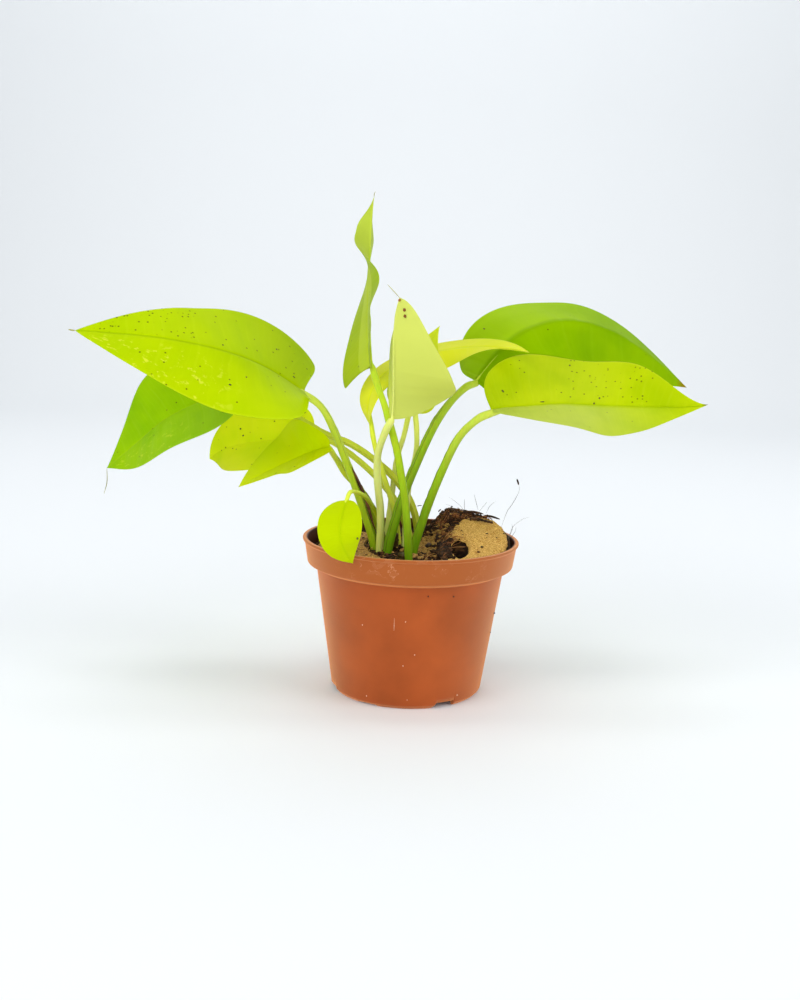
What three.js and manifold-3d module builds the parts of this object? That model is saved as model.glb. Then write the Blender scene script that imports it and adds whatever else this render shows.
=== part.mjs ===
// A potted neon pothos: twelve heart-shaped leaves on long petioles, rooted in a nursery pot of
// potting mix with two pieces of pressed-fibre mulch mat on top.
// Millimetres, +Z up. The origin is the middle of the pot's underside, +X is to the right and
// -Y to the front of the plant.

import * as THREE from 'three';
import { mergeVertices } from 'three/addons/utils/BufferGeometryUtils.js';
import Module from 'manifold-3d';

const wasm = await Module();
wasm.setup();

// Driving dimensions of the nursery pot
const potHeight = 75;
const rimRadius = 52.5;        // outside of the thin lip at the very top
const lipHeight = 1.6;
const bandRadius = 51.6;       // outside of the rim band, just under the lip
const bandFootRadius = 50;     // outside of the rim band, at its lower edge
const bandFoot = 63;           // height of the rim band's lower edge
const shoulderRadius = 45.6;   // outside of the body, just under the rim band
const shoulder = 61;
const footRadius = 37;
const footRounding = 1.8;
const wall = 1.3;
const floorUnderside = 2.8;    // the floor is raised on a foot ring and a middle pad
const floorTop = 4.2;
const floorFillet = 1;         // between the floor and the wall, inside
const footRingWidth = 2.4;
const padRadius = 9;
const padFlare = 0.8;          // the pad is this much wider where it meets the floor
const ringFlare = 0.4;
const footChamfer = 0.5;
const lipChamfer = 0.4;
const potSides = 56;

// Drain notches and the shallow relief gaps between them, by the angle round from the front
const notchAngles = [29, 149, 285];
const reliefAngles = [89, 209, 329];
const notchWidth = 12;
const notchHeight = 3;
const notchSlant = 2.2;
const notchDepth = 12;
const reliefWidth = 10;
const reliefHeight = 0.6;
const drain = { width: 7.2, length: 6, inset: 7.8 };   // a hole in the floor behind each notch
const cutPast = 1;             // how far a cut starts below the foot that it cuts

// Driving dimensions of the filling and the mats
const gap = 0.3;               // clearance between neighbouring solids
const matGap = 0.5;            // a mat bridges the small hollows of the mix
const mixLevel = 67.5;
const mixBackRise = 0.05;      // mm up for each mm towards the back
const mixEdge = bandFoot + 1.4;    // height of the mix where it meets the wall
const mixSideHeights = [20, 40];
const mixUnderRounding = 1;
const mixSpokes = 40;
const mixRings = 8;
const matThickness = 1.6;
const slopeLow = 70.5;         // top of the right mat at its front left corner
const slopeBack = 0.2;
const slopeRight = 0.04;
const slopeCorner = [19, -24];
const slopeFrom = 6;           // the mix is heaped up between these two x
const slopeTo = 22;
const clump = { x: 15, y: 33, height: 3, spread: 9 };

// Driving dimensions of the leaves
const bladeThickness = 0.8;
const bladeRows = 12;
const rowCrowding = 1.3;       // the rows lie closer together near the base
const bladeColumns = 6;        // an even count, so that one column runs along the midrib
const rootCrowding = 1.35;     // so do the side veins' roots on the midrib
const edgeCrowding = 1.15;     // and, less so, their ends at the margin
const veinSweep = 1.25;        // bend of a side vein between the two
const lobePeak = 0.2 * 0.8 ** 4;   // the most that t (1 - t)^4 comes to
const petioleDepth = 14;       // how far a petiole stands in the mix
const petioleSides = 6;
const petioleSteps = 22;
const ribStations = [0.2, 0.42, 0.7];  // the midrib stands out under the blade as far as the last
const ribSink = 0.3;           // its centre lies this share of its radius under the blade
const ribTip = 0.35;           // its radius at its end
const holeSteps = 12;
const holeRoom = 0.4;          // room round a petiole's foot: the gap and its flats' turn
const holePast = 6;            // a stub's hole is cut this far above the stub

// Each leaf: the midrib as a cubic Bezier from the blade's base to its tip, the blade's width,
// shoulder (small: widest near the base), lobe (how far the two base lobes reach back, as a share
// of the length), margin (small: full, large: drawn in; at the base and at the tip), faces (the
// compass bearing from the front and the height that the upper side looks to, in degrees, at the
// base, middle and tip), folds (degrees that the left and right half rise from flat, along the
// length), the petiole's route from the mix to the base, and its radius at the foot and the top.
const leaves = {
  leaf_left_large: {
    midrib: [[-53, -8, 145], [-76, -12, 160], [-82, -52, 170], [-152, -38, 171]],
    width: 75, rightShare: 0.9, shoulder: 0.52, lobe: 0.09, margin: [0.8, 0.9],
    faces: [[65, 40], [0, 35], [0, 42]], folds: [[25, -6, 8], [0, -12, 4]],
    petiole: [[-18, 5, 69], [-24, 4, 88], [-33, 1, 112], [-39, -2, 127], [-45, -5, 138]],
    radius: [2.2, 1.6], colour: 0xb8d400,
  },
  leaf_left_hanging: {
    midrib: [[-83, 14, 146], [-126, 8, 129], [-119, 3, 130], [-152, 14, 102]],
    width: 66, shoulder: 0.88, lobe: 0.03, margin: [0.85, 1.05],
    faces: [[-20, 42], [-26, 40], [-35, 39]], folds: [[16, 18, 0], [6, 6, 4]],
    petiole: [[4, 25, 69], [0, 22, 87], [-11, 18, 103], [-29, 13, 117], [-46, 12, 124],
      [-65, 11, 135]],
    radius: [1.8, 1.4], colour: 0x9cc414,
  },
  leaf_left_middle: {
    midrib: [[-50, 19, 121], [-77, 20, 116], [-95, 31, 116], [-105, 38, 105]],
    width: 49, shoulder: 0.88, lobe: 0.09, margin: [0.76, 0.95],
    faces: [[-3, 50], [-2, 43], [-13, 25]], folds: [[15, 20, 15], [11, 16, 16]],
    petiole: [[0, 18, 69], [-6, 14, 86], [-14, 12, 98], [-26, 14, 109], [-40, 18, 118]],
    radius: [1.7, 1.3], colour: 0xcbdc28,
  },
  leaf_left_pointed: {
    midrib: [[-40, -8, 119], [-47, -13, 119], [-66, -2, 108], [-82, -18, 100]],
    width: 40, shoulder: 0.9, lobe: 0.02, margin: [0.94, 1.09],
    faces: [[-4, 28], [-17, 69], [0, 77]], folds: [[43, 24, 14], [50, 5, -6]],
    petiole: [[-14, 11, 69], [-18, 10, 82], [-25, 9, 95], [-33, 7, 104], [-37, 3, 111]],
    radius: [1.8, 1.3], colour: 0xaecf12,
  },
  leaf_rim_small: {
    midrib: [[-30, -45, 100], [-33, -57, 88], [-33, -59, 84], [-26, -48, 72]],
    width: 20, shoulder: 0.88, lobe: 0.04, margin: [0.8, 1.1],
    faces: [[-20, 26], [2, 8], [9, -9]], folds: [[15, 9, 6], [6, 5, 8]],
    petiole: [[-13, 6, 69], [-16, 3, 82], [-19, -3, 90], [-23, -19, 98], [-28, -38, 103]],
    radius: [1.2, 0.9], colour: 0xaed206,
  },
  leaf_tall_twisted: {
    midrib: [[-22, -6, 157], [-25, -2, 178], [-25, 9, 226], [-23, 12, 237]],
    width: 60, shoulder: 0.45, lobe: 0.17, margin: [0.55, 1.1],
    faces: [[-92, -8], [-98, 0], [-166, 0]],
    folds: [[32, 30, 30, 38, 80], [-5, -12, -36, -3, 62]],
    petiole: [[-1, -24, 69], [-3, -24, 93], [-6, -22, 110], [-9, -18, 123], [-14, -12, 138],
      [-18, -8, 148]],
    radius: [2.0, 1.6], colour: 0xb4cf3c,
  },
  leaf_centre_pale: {
    midrib: [[-11, -24, 135], [-9, -26, 150], [-13, -55, 172], [-9, -46, 190]],
    width: 52, rightShare: 0.8, shoulder: 0.88, lobe: 0.03, margin: [0.98, 0.72],
    faces: [[185, 10], [160, 20], [164, 10]], folds: [[8, -10, -15], [80, 75, 70]],
    petiole: [[-15, -1, 69], [-15, -3, 86], [-17, -8, 104], [-17, -13, 117], [-14, -20, 128]],
    radius: [2.0, 1.6], colour: 0xd7e468,
  },
  leaf_arching: {
    midrib: [[-22, 9, 129], [-30, 4, 164], [23, 40, 171], [52, -12, 167]],
    width: 34, shoulder: 0.89, lobe: 0.05, margin: [0.68, 1.04],
    faces: [[-73, 42], [-17, 47], [2, 77]], folds: [[0, -18, 10], [10, -4, 26]],
    petiole: [[-6, 12, 69], [-9, 8, 88], [-14, 6, 103], [-19, 7, 118]],
    radius: [1.6, 1.2], colour: 0xd2e634,
  },
  leaf_right_rear: {
    midrib: [[29, 16, 151], [62, 16, 202], [101, 36, 181], [142, 53, 149]],
    width: 84, shoulder: 0.73, lobe: 0.07, margin: [0.66, 0.95],
    faces: [[-3, 82], [-20, 40], [20, 46]], folds: [[3, -20, -25], [-32, -29, -4]],
    petiole: [[-11, -5, 69], [-7, -6, 87], [-2, -5, 103], [8, 0, 127], [16, 6, 140],
      [24, 12, 148]],
    radius: [2.3, 1.8], colour: 0x8cb800,
  },
  leaf_right_front: {
    midrib: [[35, -19, 140], [60, -15, 147], [117, -20, 141], [132, -30, 147]],
    width: 70, shoulder: 0.75, lobe: 0.04, margin: [0.68, 1.22],
    faces: [[-5, 82], [3, 51], [-5, 14]], folds: [[36, -2, 30], [8, 22, 40]],
    petiole: [[1, -8, 69], [6, -9, 88], [12, -11, 106], [20, -13, 125], [28, -17, 135]],
    radius: [2.4, 1.8], colour: 0xb2d620,
  },
  leaf_centre_spike: {
    midrib: [[0, -4, 136], [-1, -5, 152], [3, -8, 166], [10, -10, 178]],
    width: 22, shoulder: 0.7, lobe: 0.06, margin: [0.8, 1.15],
    faces: [[0, 10], [0, 10], [0, 10]], folds: [[12, 12, 12], [12, 12, 12]],
    petiole: [[-3, 6, 69], [-2, 7, 97], [1, 3, 116], [1, -1, 127]],
    radius: [1.6, 1.2], colour: 0xc8dc46,
  },
  leaf_rear_young: {
    midrib: [[-3, 3, 136], [-3, 13, 146], [0, 31, 152], [3, 48, 142]],
    width: 24, shoulder: 0.7, lobe: 0.06, margin: [0.8, 1.15],
    faces: [[0, 30], [0, 70], [0, 95]], folds: [[12, 12, 12], [12, 12, 12]],
    petiole: [[-12, 23, 69], [-10, 25, 92], [-8, 18, 111], [-5, 9, 124]],
    radius: [1.6, 1.2], colour: 0xc4d848,
  },
};

// Stubs of the old vine, cut off just above the mix
const stems = {
  vine_stub_left: { x: -8.5, y: 3, radius: 2.7, top: 76 },
  vine_stub_front: { x: -3.5, y: -15, radius: 2.9, top: 70 },
};
const stubTaper = 0.92;        // top radius as a share of the foot's
const stubSides = 10;

// Outlines of the two mats, seen from above
const rightMatOutline = [[16, -34], [30, -36], [41, -25], [46.5, -8], [47, 8], [43, 21],
  [36, 28], [27, 24], [21, 12], [17, 0], [15, -12], [14, -24]];
const rightMatHole = { x: 23.5, y: -11.5, across: 4.2, along: 11.5 };
const leftMatOutline = [[-25, 33], [-34, 30], [-43, 18], [-46, 0], [-44, -16], [-34, -32],
  [-20, -42], [-12, -36], [-13, -22], [-18.5, -10], [-20, -4], [-22.5, 4], [-22, 12], [-21, 26]];
const matSpokes = 30;
const matRings = 4;
const matHeart = 0.06;         // innermost ring of a mat without a hole, as a share of its outline

// Loose bits on the mix: where each lies, its three half sizes and its turn in degrees
const chips = {
  bark_chip_front: { x: 8, y: -26, size: [3.4, 1.8, 1.1], turn: 20 },
  bark_chip_middle: { x: 9, y: 4, size: [2.6, 1.7, 1.2], turn: 75 },
  bark_chip_rear: { x: 6, y: 36, size: [3.6, 2.0, 1.3], turn: 130 },
};
const chipSeat = 0.6;          // a chip rests on the mix within this share of its longest half
const chipSeatTurn = 30;
const twig = { from: [30, 22], to: [41, 16], radius: 0.8, taper: 0.3, sides: 6, steps: 3 };
const twigLift = 0.2;          // it rests on the mat's highest fibres

const mergeWithin = 1e-4;
const vec = (p) => new THREE.Vector3(...p);
const radians = THREE.MathUtils.degToRad;

// Solid with an indexed list of corners, from loose or indexed triangles
function solidOf(geometry) {
  const bare = geometry.clone();
  bare.deleteAttribute('normal');
  bare.deleteAttribute('uv');
  const merged = mergeVertices(bare, mergeWithin);
  return new wasm.Manifold(new wasm.Mesh({
    numProp: 3,
    vertProperties: new Float32Array(merged.attributes.position.array),
    triVerts: new Uint32Array(merged.index.array),
  }));
}

function geometryOf(solid) {
  const mesh = solid.getMesh();
  const corners = new Float32Array(mesh.vertProperties);
  const geometry = new THREE.BufferGeometry();
  geometry.setAttribute('position', new THREE.BufferAttribute(corners, 3));
  geometry.setIndex(new THREE.BufferAttribute(new Uint32Array(mesh.triVerts), 1));
  return geometry;
}

function indexed(points, triangles) {
  const corners = points.flatMap((p) => p.toArray());
  const geometry = new THREE.BufferGeometry();
  geometry.setAttribute('position', new THREE.Float32BufferAttribute(corners, 3));
  geometry.setIndex(triangles);
  return geometry;
}

// Rings of equally many points, joined into one closed skin with a fan at each end
function skinOf(rings) {
  const count = rings[0].length;
  const points = rings.flat();
  const triangles = [];
  for (let i = 0; i < rings.length - 1; i++) {
    for (let j = 0; j < count; j++) {
      const a = i * count + j;
      const b = i * count + (j + 1) % count;
      triangles.push(a, b, b + count, a, b + count, a + count);
    }
  }
  for (let j = 1; j < count - 1; j++) {
    const last = (rings.length - 1) * count;
    triangles.push(0, j + 1, j, last, last + j, last + j + 1);
  }
  return indexed(points, triangles);
}

// Round bar along a curve, its radius given along the length
function taperedBar(curve, steps, sides, radiusAt) {
  const frames = curve.computeFrenetFrames(steps, false);
  const rings = [];
  for (let i = 0; i <= steps; i++) {
    const centre = curve.getPointAt(i / steps);
    const ring = [];
    for (let j = 0; j < sides; j++) {
      const angle = 2 * Math.PI * j / sides;
      const out = frames.normals[i].clone().multiplyScalar(Math.cos(angle))
        .addScaledVector(frames.binormals[i], Math.sin(angle));
      ring.push(centre.clone().addScaledVector(out, radiusAt(i / steps)));
    }
    rings.push(ring);
  }
  return skinOf(rings);
}

// The pot

// Inside radius of the pot's wall at a height
function wallInside(z) {
  const t = (z - floorTop) / (shoulder - floorTop);
  const body = footRadius - wall + (shoulderRadius - footRadius) * Math.min(t, 1);
  if (z <= shoulder) return body;
  const inBand = bandFootRadius - wall;
  if (z < bandFoot) return body + (inBand - body) * (z - shoulder) / (bandFoot - shoulder);
  return inBand + (bandRadius - bandFootRadius) * (z - bandFoot) / (potHeight - bandFoot);
}

function potGeometry() {
  const profile = [
    [0, 0], [padRadius, 0], [padRadius + padFlare, floorUnderside],
    [footRadius - footRingWidth - ringFlare, floorUnderside], [footRadius - footRingWidth, 0],
    [footRadius - footRounding, 0], [footRadius - footChamfer, footChamfer],
    [footRadius, footRounding], [shoulderRadius, shoulder], [bandFootRadius, bandFoot],
    [bandRadius, potHeight - lipHeight], [rimRadius, potHeight - lipHeight + lipChamfer],
    [rimRadius, potHeight], [wallInside(potHeight), potHeight], [wallInside(bandFoot), bandFoot],
    [wallInside(shoulder), shoulder], [wallInside(floorTop + floorFillet), floorTop + floorFillet],
    [wallInside(floorTop) - floorFillet, floorTop], [0, floorTop],
  ];
  const turned = new THREE.LatheGeometry(profile.map((p) => new THREE.Vector2(...p)), potSides);
  let pot = solidOf(turned.rotateX(Math.PI / 2));
  for (const angle of notchAngles) {
    pot = pot.subtract(footCut(angle, notchWidth, notchHeight, notchSlant));
    pot = pot.subtract(drainHole(angle));
  }
  for (const angle of reliefAngles) {
    pot = pot.subtract(footCut(angle, reliefWidth, reliefHeight, reliefHeight));
  }
  return geometryOf(pot);
}

// Wedge that cuts the foot ring, seen from outside as a slot with one slanted end
function footCut(angle, width, height, slant) {
  const outline = new THREE.Shape([
    new THREE.Vector2(-width / 2, -cutPast), new THREE.Vector2(width / 2, -cutPast),
    new THREE.Vector2(width / 2, height), new THREE.Vector2(-width / 2 + slant, height),
  ]);
  const cut = new THREE.ExtrudeGeometry(outline, { depth: notchDepth, bevelEnabled: false });
  cut.translate(0, 0, -notchDepth / 2).rotateX(Math.PI / 2).translate(0, -footRadius, 0);
  return solidOf(cut.rotateZ(radians(angle)));
}

function drainHole(angle) {
  const hole = new THREE.BoxGeometry(drain.width, drain.length, 3 * floorTop);
  hole.translate(0, drain.inset - footRadius, floorTop);
  return solidOf(hole.rotateZ(radians(angle)));
}

// The filling

function smooth(from, to, x) {
  const t = THREE.MathUtils.clamp((x - from) / (to - from), 0, 1);
  return t * t * (3 - 2 * t);
}

// Top of the sloped right mat
function slopeAt(x, y) {
  return slopeLow + slopeBack * (y - slopeCorner[1]) + slopeRight * (x - slopeCorner[0]);
}

// Height of the potting mix: level, heaped under the right mat, with a clump of coir behind
function mixTop(x, y) {
  const level = mixLevel + mixBackRise * y;
  const heap = smooth(slopeFrom, slopeTo, x) * (slopeAt(x, y) - matThickness - matGap - level);
  const dx = (x - clump.x) / clump.spread;
  const dy = (y - clump.y) / clump.spread;
  return level + heap + clump.height * Math.exp(-dx * dx - dy * dy);
}

function mixGeometry(feet) {
  const bottom = floorTop + gap;
  const side = [bottom, ...mixSideHeights, shoulder, bandFoot + gap, mixEdge];
  const ringAt = (radius, height) => {
    const ring = [];
    for (let j = 0; j < mixSpokes; j++) {
      const angle = 2 * Math.PI * j / mixSpokes;
      const x = radius * Math.cos(angle);
      const y = radius * Math.sin(angle);
      ring.push(new THREE.Vector3(x, y, height(x, y)));
    }
    return ring;
  };
  const rings = side.map((z) => {
    const radius = wallInside(z) - gap - (z === bottom ? mixUnderRounding : 0);
    return ringAt(radius, () => z);
  });
  const edge = wallInside(mixEdge) - gap;
  for (let i = mixRings; i >= 1; i--) rings.push(ringAt(edge * i / mixRings, mixTop));
  let mix = solidOf(skinOf(rings));
  for (const foot of feet) mix = mix.subtract(foot);
  return geometryOf(mix);
}

// A mat lies on the mix: spokes run from the hole's edge, or from the middle, to the outline
function matGeometry(outline, hole) {
  const edge = new THREE.CatmullRomCurve3(outline.map((p) => new THREE.Vector3(...p, 0)), true,
    'catmullrom', 0.5).getSpacedPoints(matSpokes).slice(0, matSpokes);
  if (THREE.ShapeUtils.area(edge) < 0) edge.reverse();
  const middle = hole ? new THREE.Vector3(hole.x, hole.y, 0)
    : edge.reduce((sum, p) => sum.add(p), new THREE.Vector3()).divideScalar(matSpokes);
  const inner = edge.map((p) => {
    const out = p.clone().sub(middle);
    const angle = Math.atan2(out.y, out.x);
    if (!hole) return middle.clone().addScaledVector(out, matHeart);
    return new THREE.Vector3(middle.x + hole.across * Math.cos(angle),
      middle.y + hole.along * Math.sin(angle), 0);
  });
  const layer = (lift) => {
    const rings = [];
    for (let i = 0; i <= matRings; i++) {
      rings.push(edge.map((p, j) => {
        const q = inner[j].clone().lerp(p, i / matRings);
        q.z = mixTop(q.x, q.y) + matGap + lift;
        return q;
      }));
    }
    return rings;
  };
  const rings = [...layer(0), ...layer(matThickness).reverse()];
  return hole ? closedLoop(rings) : skinOf(rings);
}

// Rings joined one to the next and the last to the first, as round a hole
function closedLoop(rings) {
  const count = rings[0].length;
  const triangles = [];
  for (let i = 0; i < rings.length; i++) {
    for (let j = 0; j < count; j++) {
      const next = (i + 1) % rings.length;
      const a = i * count + j;
      const b = i * count + (j + 1) % count;
      const c = next * count + (j + 1) % count;
      const d = next * count + j;
      triangles.push(a, b, c, a, c, d);
    }
  }
  return indexed(rings.flat(), triangles);
}

function chipGeometry(chip) {
  const geometry = new THREE.IcosahedronGeometry(1, 0);
  geometry.scale(...chip.size).rotateZ(radians(chip.turn));
  const rise = chip.size[2] + gap;
  const reach = chipSeat * Math.max(...chip.size);
  let seat = -Infinity;
  for (let angle = 0; angle < 360; angle += chipSeatTurn) {
    seat = Math.max(seat, mixTop(chip.x + reach * Math.cos(radians(angle)),
      chip.y + reach * Math.sin(radians(angle))));
  }
  return geometry.translate(chip.x, chip.y, seat + rise);
}

function twigGeometry() {
  const lift = matGap + matThickness + gap + twig.radius + twigLift;
  const ends = [twig.from, twig.to].map(([x, y]) => new THREE.Vector3(x, y, mixTop(x, y) + lift));
  return taperedBar(new THREE.LineCurve3(...ends), twig.steps, twig.sides,
    (u) => twig.radius * (1 - twig.taper * u));
}

// The leaves

// Way that a bearing from the front and a height above level point to
function lookTo([bearing, height]) {
  const a = radians(bearing);
  const e = radians(height);
  return new THREE.Vector3(Math.sin(a) * Math.cos(e), -Math.cos(a) * Math.cos(e), Math.sin(e));
}

// Value along a list of even stations, eased from one to the next
function along(list, u) {
  const x = THREE.MathUtils.clamp(u, 0, 1) * (list.length - 1);
  const i = Math.min(Math.floor(x), list.length - 2);
  return list[i] + (list[i + 1] - list[i]) * smooth(0, 1, x - i);
}

function midribOf(leaf) {
  const curve = new THREE.CubicBezierCurve3(...leaf.midrib.map(vec));
  curve.arcLengthDivisions = 400;
  return curve;
}

// The blade's frame at a share u of the midrib's length: place, way to the tip, upper normal and
// way to the left half
function frameAt(leaf, curve, u) {
  const s = THREE.MathUtils.clamp(u, 0, 1);
  const place = curve.getPointAt(s);
  const tip = curve.getTangentAt(s);
  const [base, middle, end] = leaf.faces.map(lookTo);
  const normal = base.multiplyScalar((1 - s) * (1 - s)).addScaledVector(middle, 2 * s * (1 - s))
    .addScaledVector(end, s * s);
  normal.addScaledVector(tip, -normal.dot(tip)).normalize();
  return { place, tip, normal, left: normal.clone().cross(tip) };
}

// Point of the blade: t runs from the base (0) to the tip (1) along a side vein's root, and v
// from the right margin (-1) over the midrib (0) to the left margin (1)
function bladePoint(leaf, curve, t, v) {
  const length = curve.getLength();
  const share = leaf.rightShare ?? 1;
  const half = leaf.width * (v >= 0 ? 1 : share) / (1 + share);
  const [q0, q1] = leaf.margin;
  const swell = Math.max(Math.sin(Math.PI * t ** leaf.shoulder), 0) ** (q0 + (q1 - q0) * t);
  const across = half * swell * Math.abs(v);
  const root = length * t ** rootCrowding;
  const edge = length * (t ** edgeCrowding - leaf.lobe * t * (1 - t) ** 4 / lobePeak);
  const forward = root + (edge - root) * Math.abs(v) ** veinSweep;
  const frame = frameAt(leaf, curve, forward / length);
  const beyond = Math.min(forward, 0) + Math.max(forward - length, 0);
  const fold = radians(along(leaf.folds[v >= 0 ? 0 : 1], forward / length));
  const side = v >= 0 ? 1 : -1;
  return frame.place.addScaledVector(frame.tip, beyond)
    .addScaledVector(frame.left, side * across * Math.cos(fold))
    .addScaledVector(frame.normal, across * Math.sin(fold));
}

// Upper normal of the blade, from points a little way off. At the poles, where a row shrinks to a
// point, the way across is taken a little further in.
function bladeNormal(leaf, curve, t, v) {
  const step = { along: 0.02, across: 0.08 };
  const poleMargin = { along: 0.004, across: 0.03 };
  const t0 = Math.max(t - step.along, poleMargin.along);
  const t1 = Math.min(t + step.along, 1 - poleMargin.along);
  const v0 = Math.max(v - step.across, -1);
  const v1 = Math.min(v + step.across, 1);
  const inside = THREE.MathUtils.clamp(t, poleMargin.across, 1 - poleMargin.across);
  const forward = bladePoint(leaf, curve, t1, v).sub(bladePoint(leaf, curve, t0, v));
  const across = bladePoint(leaf, curve, inside, v1).sub(bladePoint(leaf, curve, inside, v0));
  return forward.cross(across).normalize();
}

// Blade of even thickness: one grid of points above, one below, sewn together round the margin.
// All the points of the first row meet at the base, and all those of the last row at the tip.
function bladeGeometry(leaf) {
  const curve = midribOf(leaf);
  const points = [];
  const ids = [[], []];
  for (let i = 0; i <= bladeRows; i++) {
    const t = (i / bladeRows) ** rowCrowding;
    const pole = i === 0 || i === bladeRows;
    for (const level of [0, 1]) ids[level].push([]);
    for (let j = 0; j <= bladeColumns; j++) {
      if (pole && j > 0) {
        for (const level of [0, 1]) ids[level][i].push(ids[level][i][0]);
        continue;
      }
      const v = pole ? 0 : 2 * j / bladeColumns - 1;
      const at = bladePoint(leaf, curve, t, v);
      const normal = bladeNormal(leaf, curve, t, v);
      for (const level of [0, 1]) {
        ids[level][i].push(points.length);
        points.push(at.clone().addScaledVector(normal, (level - 0.5) * bladeThickness));
      }
    }
  }
  const triangles = [];
  const add = (a, b, c) => {
    if (a !== b && b !== c && c !== a) triangles.push(a, b, c);
  };
  for (let i = 0; i < bladeRows; i++) {
    for (let j = 0; j < bladeColumns; j++) {
      const [low, high] = ids;
      add(high[i][j], high[i + 1][j], high[i + 1][j + 1]);
      add(high[i][j], high[i + 1][j + 1], high[i][j + 1]);
      add(low[i][j], low[i + 1][j + 1], low[i + 1][j]);
      add(low[i][j], low[i][j + 1], low[i + 1][j + 1]);
    }
    for (const [j, turned] of [[0, false], [bladeColumns, true]]) {
      const rim = [ids[0][i][j], ids[0][i + 1][j], ids[1][i + 1][j], ids[1][i][j]];
      if (turned) rim.reverse();
      add(rim[0], rim[1], rim[2]);
      add(rim[0], rim[2], rim[3]);
    }
  }
  return indexed(points, triangles);
}

// The petiole's centre line, from its foot in the mix through its route to the blade's base, and
// on under the blade as the midrib that stands out there
function petioleCurve(leaf) {
  const curve = midribOf(leaf);
  const route = leaf.petiole.map(vec);
  const foot = route[0].clone();
  foot.z -= petioleDepth;
  const rib = ribStations.map((u) => {
    const frame = frameAt(leaf, curve, u);
    return frame.place.addScaledVector(frame.normal, -ribSink * leaf.radius[1]);
  });
  return new THREE.CatmullRomCurve3([foot, ...route, vec(leaf.midrib[0]), ...rib], false,
    'catmullrom', 0.5);
}

function petioleGeometry(leaf) {
  const curve = petioleCurve(leaf);
  const ribLength = midribOf(leaf).getLength() * ribStations.at(-1);
  const free = 1 - ribLength / curve.getLength();
  const [foot, top] = leaf.radius;
  const radiusAt = (u) => {
    if (u < free) return foot + (top - foot) * u / free;
    return top + (ribTip - top) * (u - free) / (1 - free);
  };
  return taperedBar(curve, petioleSteps, petioleSides, radiusAt);
}

// Room for a petiole's foot in the mix: the same bar, wider and a little longer at the bottom
function petioleHole(leaf) {
  const route = leaf.petiole.map(vec);
  const foot = route[0].clone();
  foot.z -= petioleDepth + gap;
  const line = new THREE.CatmullRomCurve3([foot, ...route.slice(0, 3)], false, 'catmullrom', 0.5);
  const radius = leaf.radius[0] + holeRoom;
  return solidOf(taperedBar(line, holeSteps, petioleSides, () => radius));
}

function leafGeometry(leaf) {
  return geometryOf(solidOf(bladeGeometry(leaf)).add(solidOf(petioleGeometry(leaf))));
}

// Stub from its foot in the mix up to a height; grown all round, it is the hole it stands in
function stubGeometry(stub, top, grow = 0) {
  const bottom = mixLevel - petioleDepth - grow;
  const geometry = new THREE.CylinderGeometry(stub.radius * stubTaper + grow, stub.radius + grow,
    top - bottom, stubSides);
  return geometry.rotateX(Math.PI / 2).translate(stub.x, stub.y, (top + bottom) / 2);
}

// The whole plant

function meshOf(name, geometry, colour, roughness) {
  const mesh = new THREE.Mesh(geometry,
    new THREE.MeshStandardMaterial({ color: colour, roughness, metalness: 0 }));
  mesh.name = name;
  return mesh;
}

const plant = new THREE.Group();
plant.add(meshOf('pot', potGeometry(), 0xb0562c, 0.45));

const feet = [
  ...Object.values(leaves).map(petioleHole),
  ...Object.values(stems).map((stub) => solidOf(stubGeometry(stub, stub.top + holePast, gap))),
];
plant.add(meshOf('potting_mix', mixGeometry(feet), 0x3a2a1c, 0.95));
plant.add(meshOf('mulch_mat_right', matGeometry(rightMatOutline, rightMatHole), 0xc39a57, 0.9));
plant.add(meshOf('mulch_mat_left', matGeometry(leftMatOutline), 0x9a764c, 0.9));
for (const [name, chip] of Object.entries(chips)) {
  plant.add(meshOf(name, chipGeometry(chip), 0x5a3c24, 0.9));
}
plant.add(meshOf('twig', twigGeometry(), 0x33241a, 0.85));
for (const [name, stub] of Object.entries(stems)) {
  plant.add(meshOf(name, stubGeometry(stub, stub.top), 0x8fa02e, 0.6));
}
for (const [name, leaf] of Object.entries(leaves)) {
  plant.add(meshOf(name, leafGeometry(leaf), leaf.colour, 0.4));
}

export default plant;
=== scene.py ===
# %% [markdown]
# A potted neon pothos, dressed for rendering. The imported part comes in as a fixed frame: a nursery
# pot, its filling and twelve leaves. On the real plant each leaf is a waxy blade that bends along
# its midrib, on a long grooved petiole. Here each is worked out again from the same driving values
# as the solid, only finer, and the small things that a solid leaves out are added around it.

# %% Load the frame
import math

import bpy
import numpy as np
from mathutils import Matrix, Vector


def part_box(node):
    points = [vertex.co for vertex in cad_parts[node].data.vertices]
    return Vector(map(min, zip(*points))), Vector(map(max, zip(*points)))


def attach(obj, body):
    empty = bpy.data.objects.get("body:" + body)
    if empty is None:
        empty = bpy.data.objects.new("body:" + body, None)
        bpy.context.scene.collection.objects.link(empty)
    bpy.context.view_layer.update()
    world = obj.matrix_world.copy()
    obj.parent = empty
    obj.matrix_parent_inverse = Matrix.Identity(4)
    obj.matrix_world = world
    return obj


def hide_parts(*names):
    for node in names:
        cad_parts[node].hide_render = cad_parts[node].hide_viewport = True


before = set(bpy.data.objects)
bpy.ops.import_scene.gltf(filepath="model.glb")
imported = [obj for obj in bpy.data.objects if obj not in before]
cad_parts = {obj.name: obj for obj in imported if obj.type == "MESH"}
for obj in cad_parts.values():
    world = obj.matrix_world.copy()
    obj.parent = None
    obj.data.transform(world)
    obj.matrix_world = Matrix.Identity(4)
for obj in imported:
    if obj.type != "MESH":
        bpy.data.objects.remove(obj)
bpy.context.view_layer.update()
MM = 0.001             # the plant and pot are worked out in millimetres, and Blender counts in metres
print("nodes in the frame:", len(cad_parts))

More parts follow.
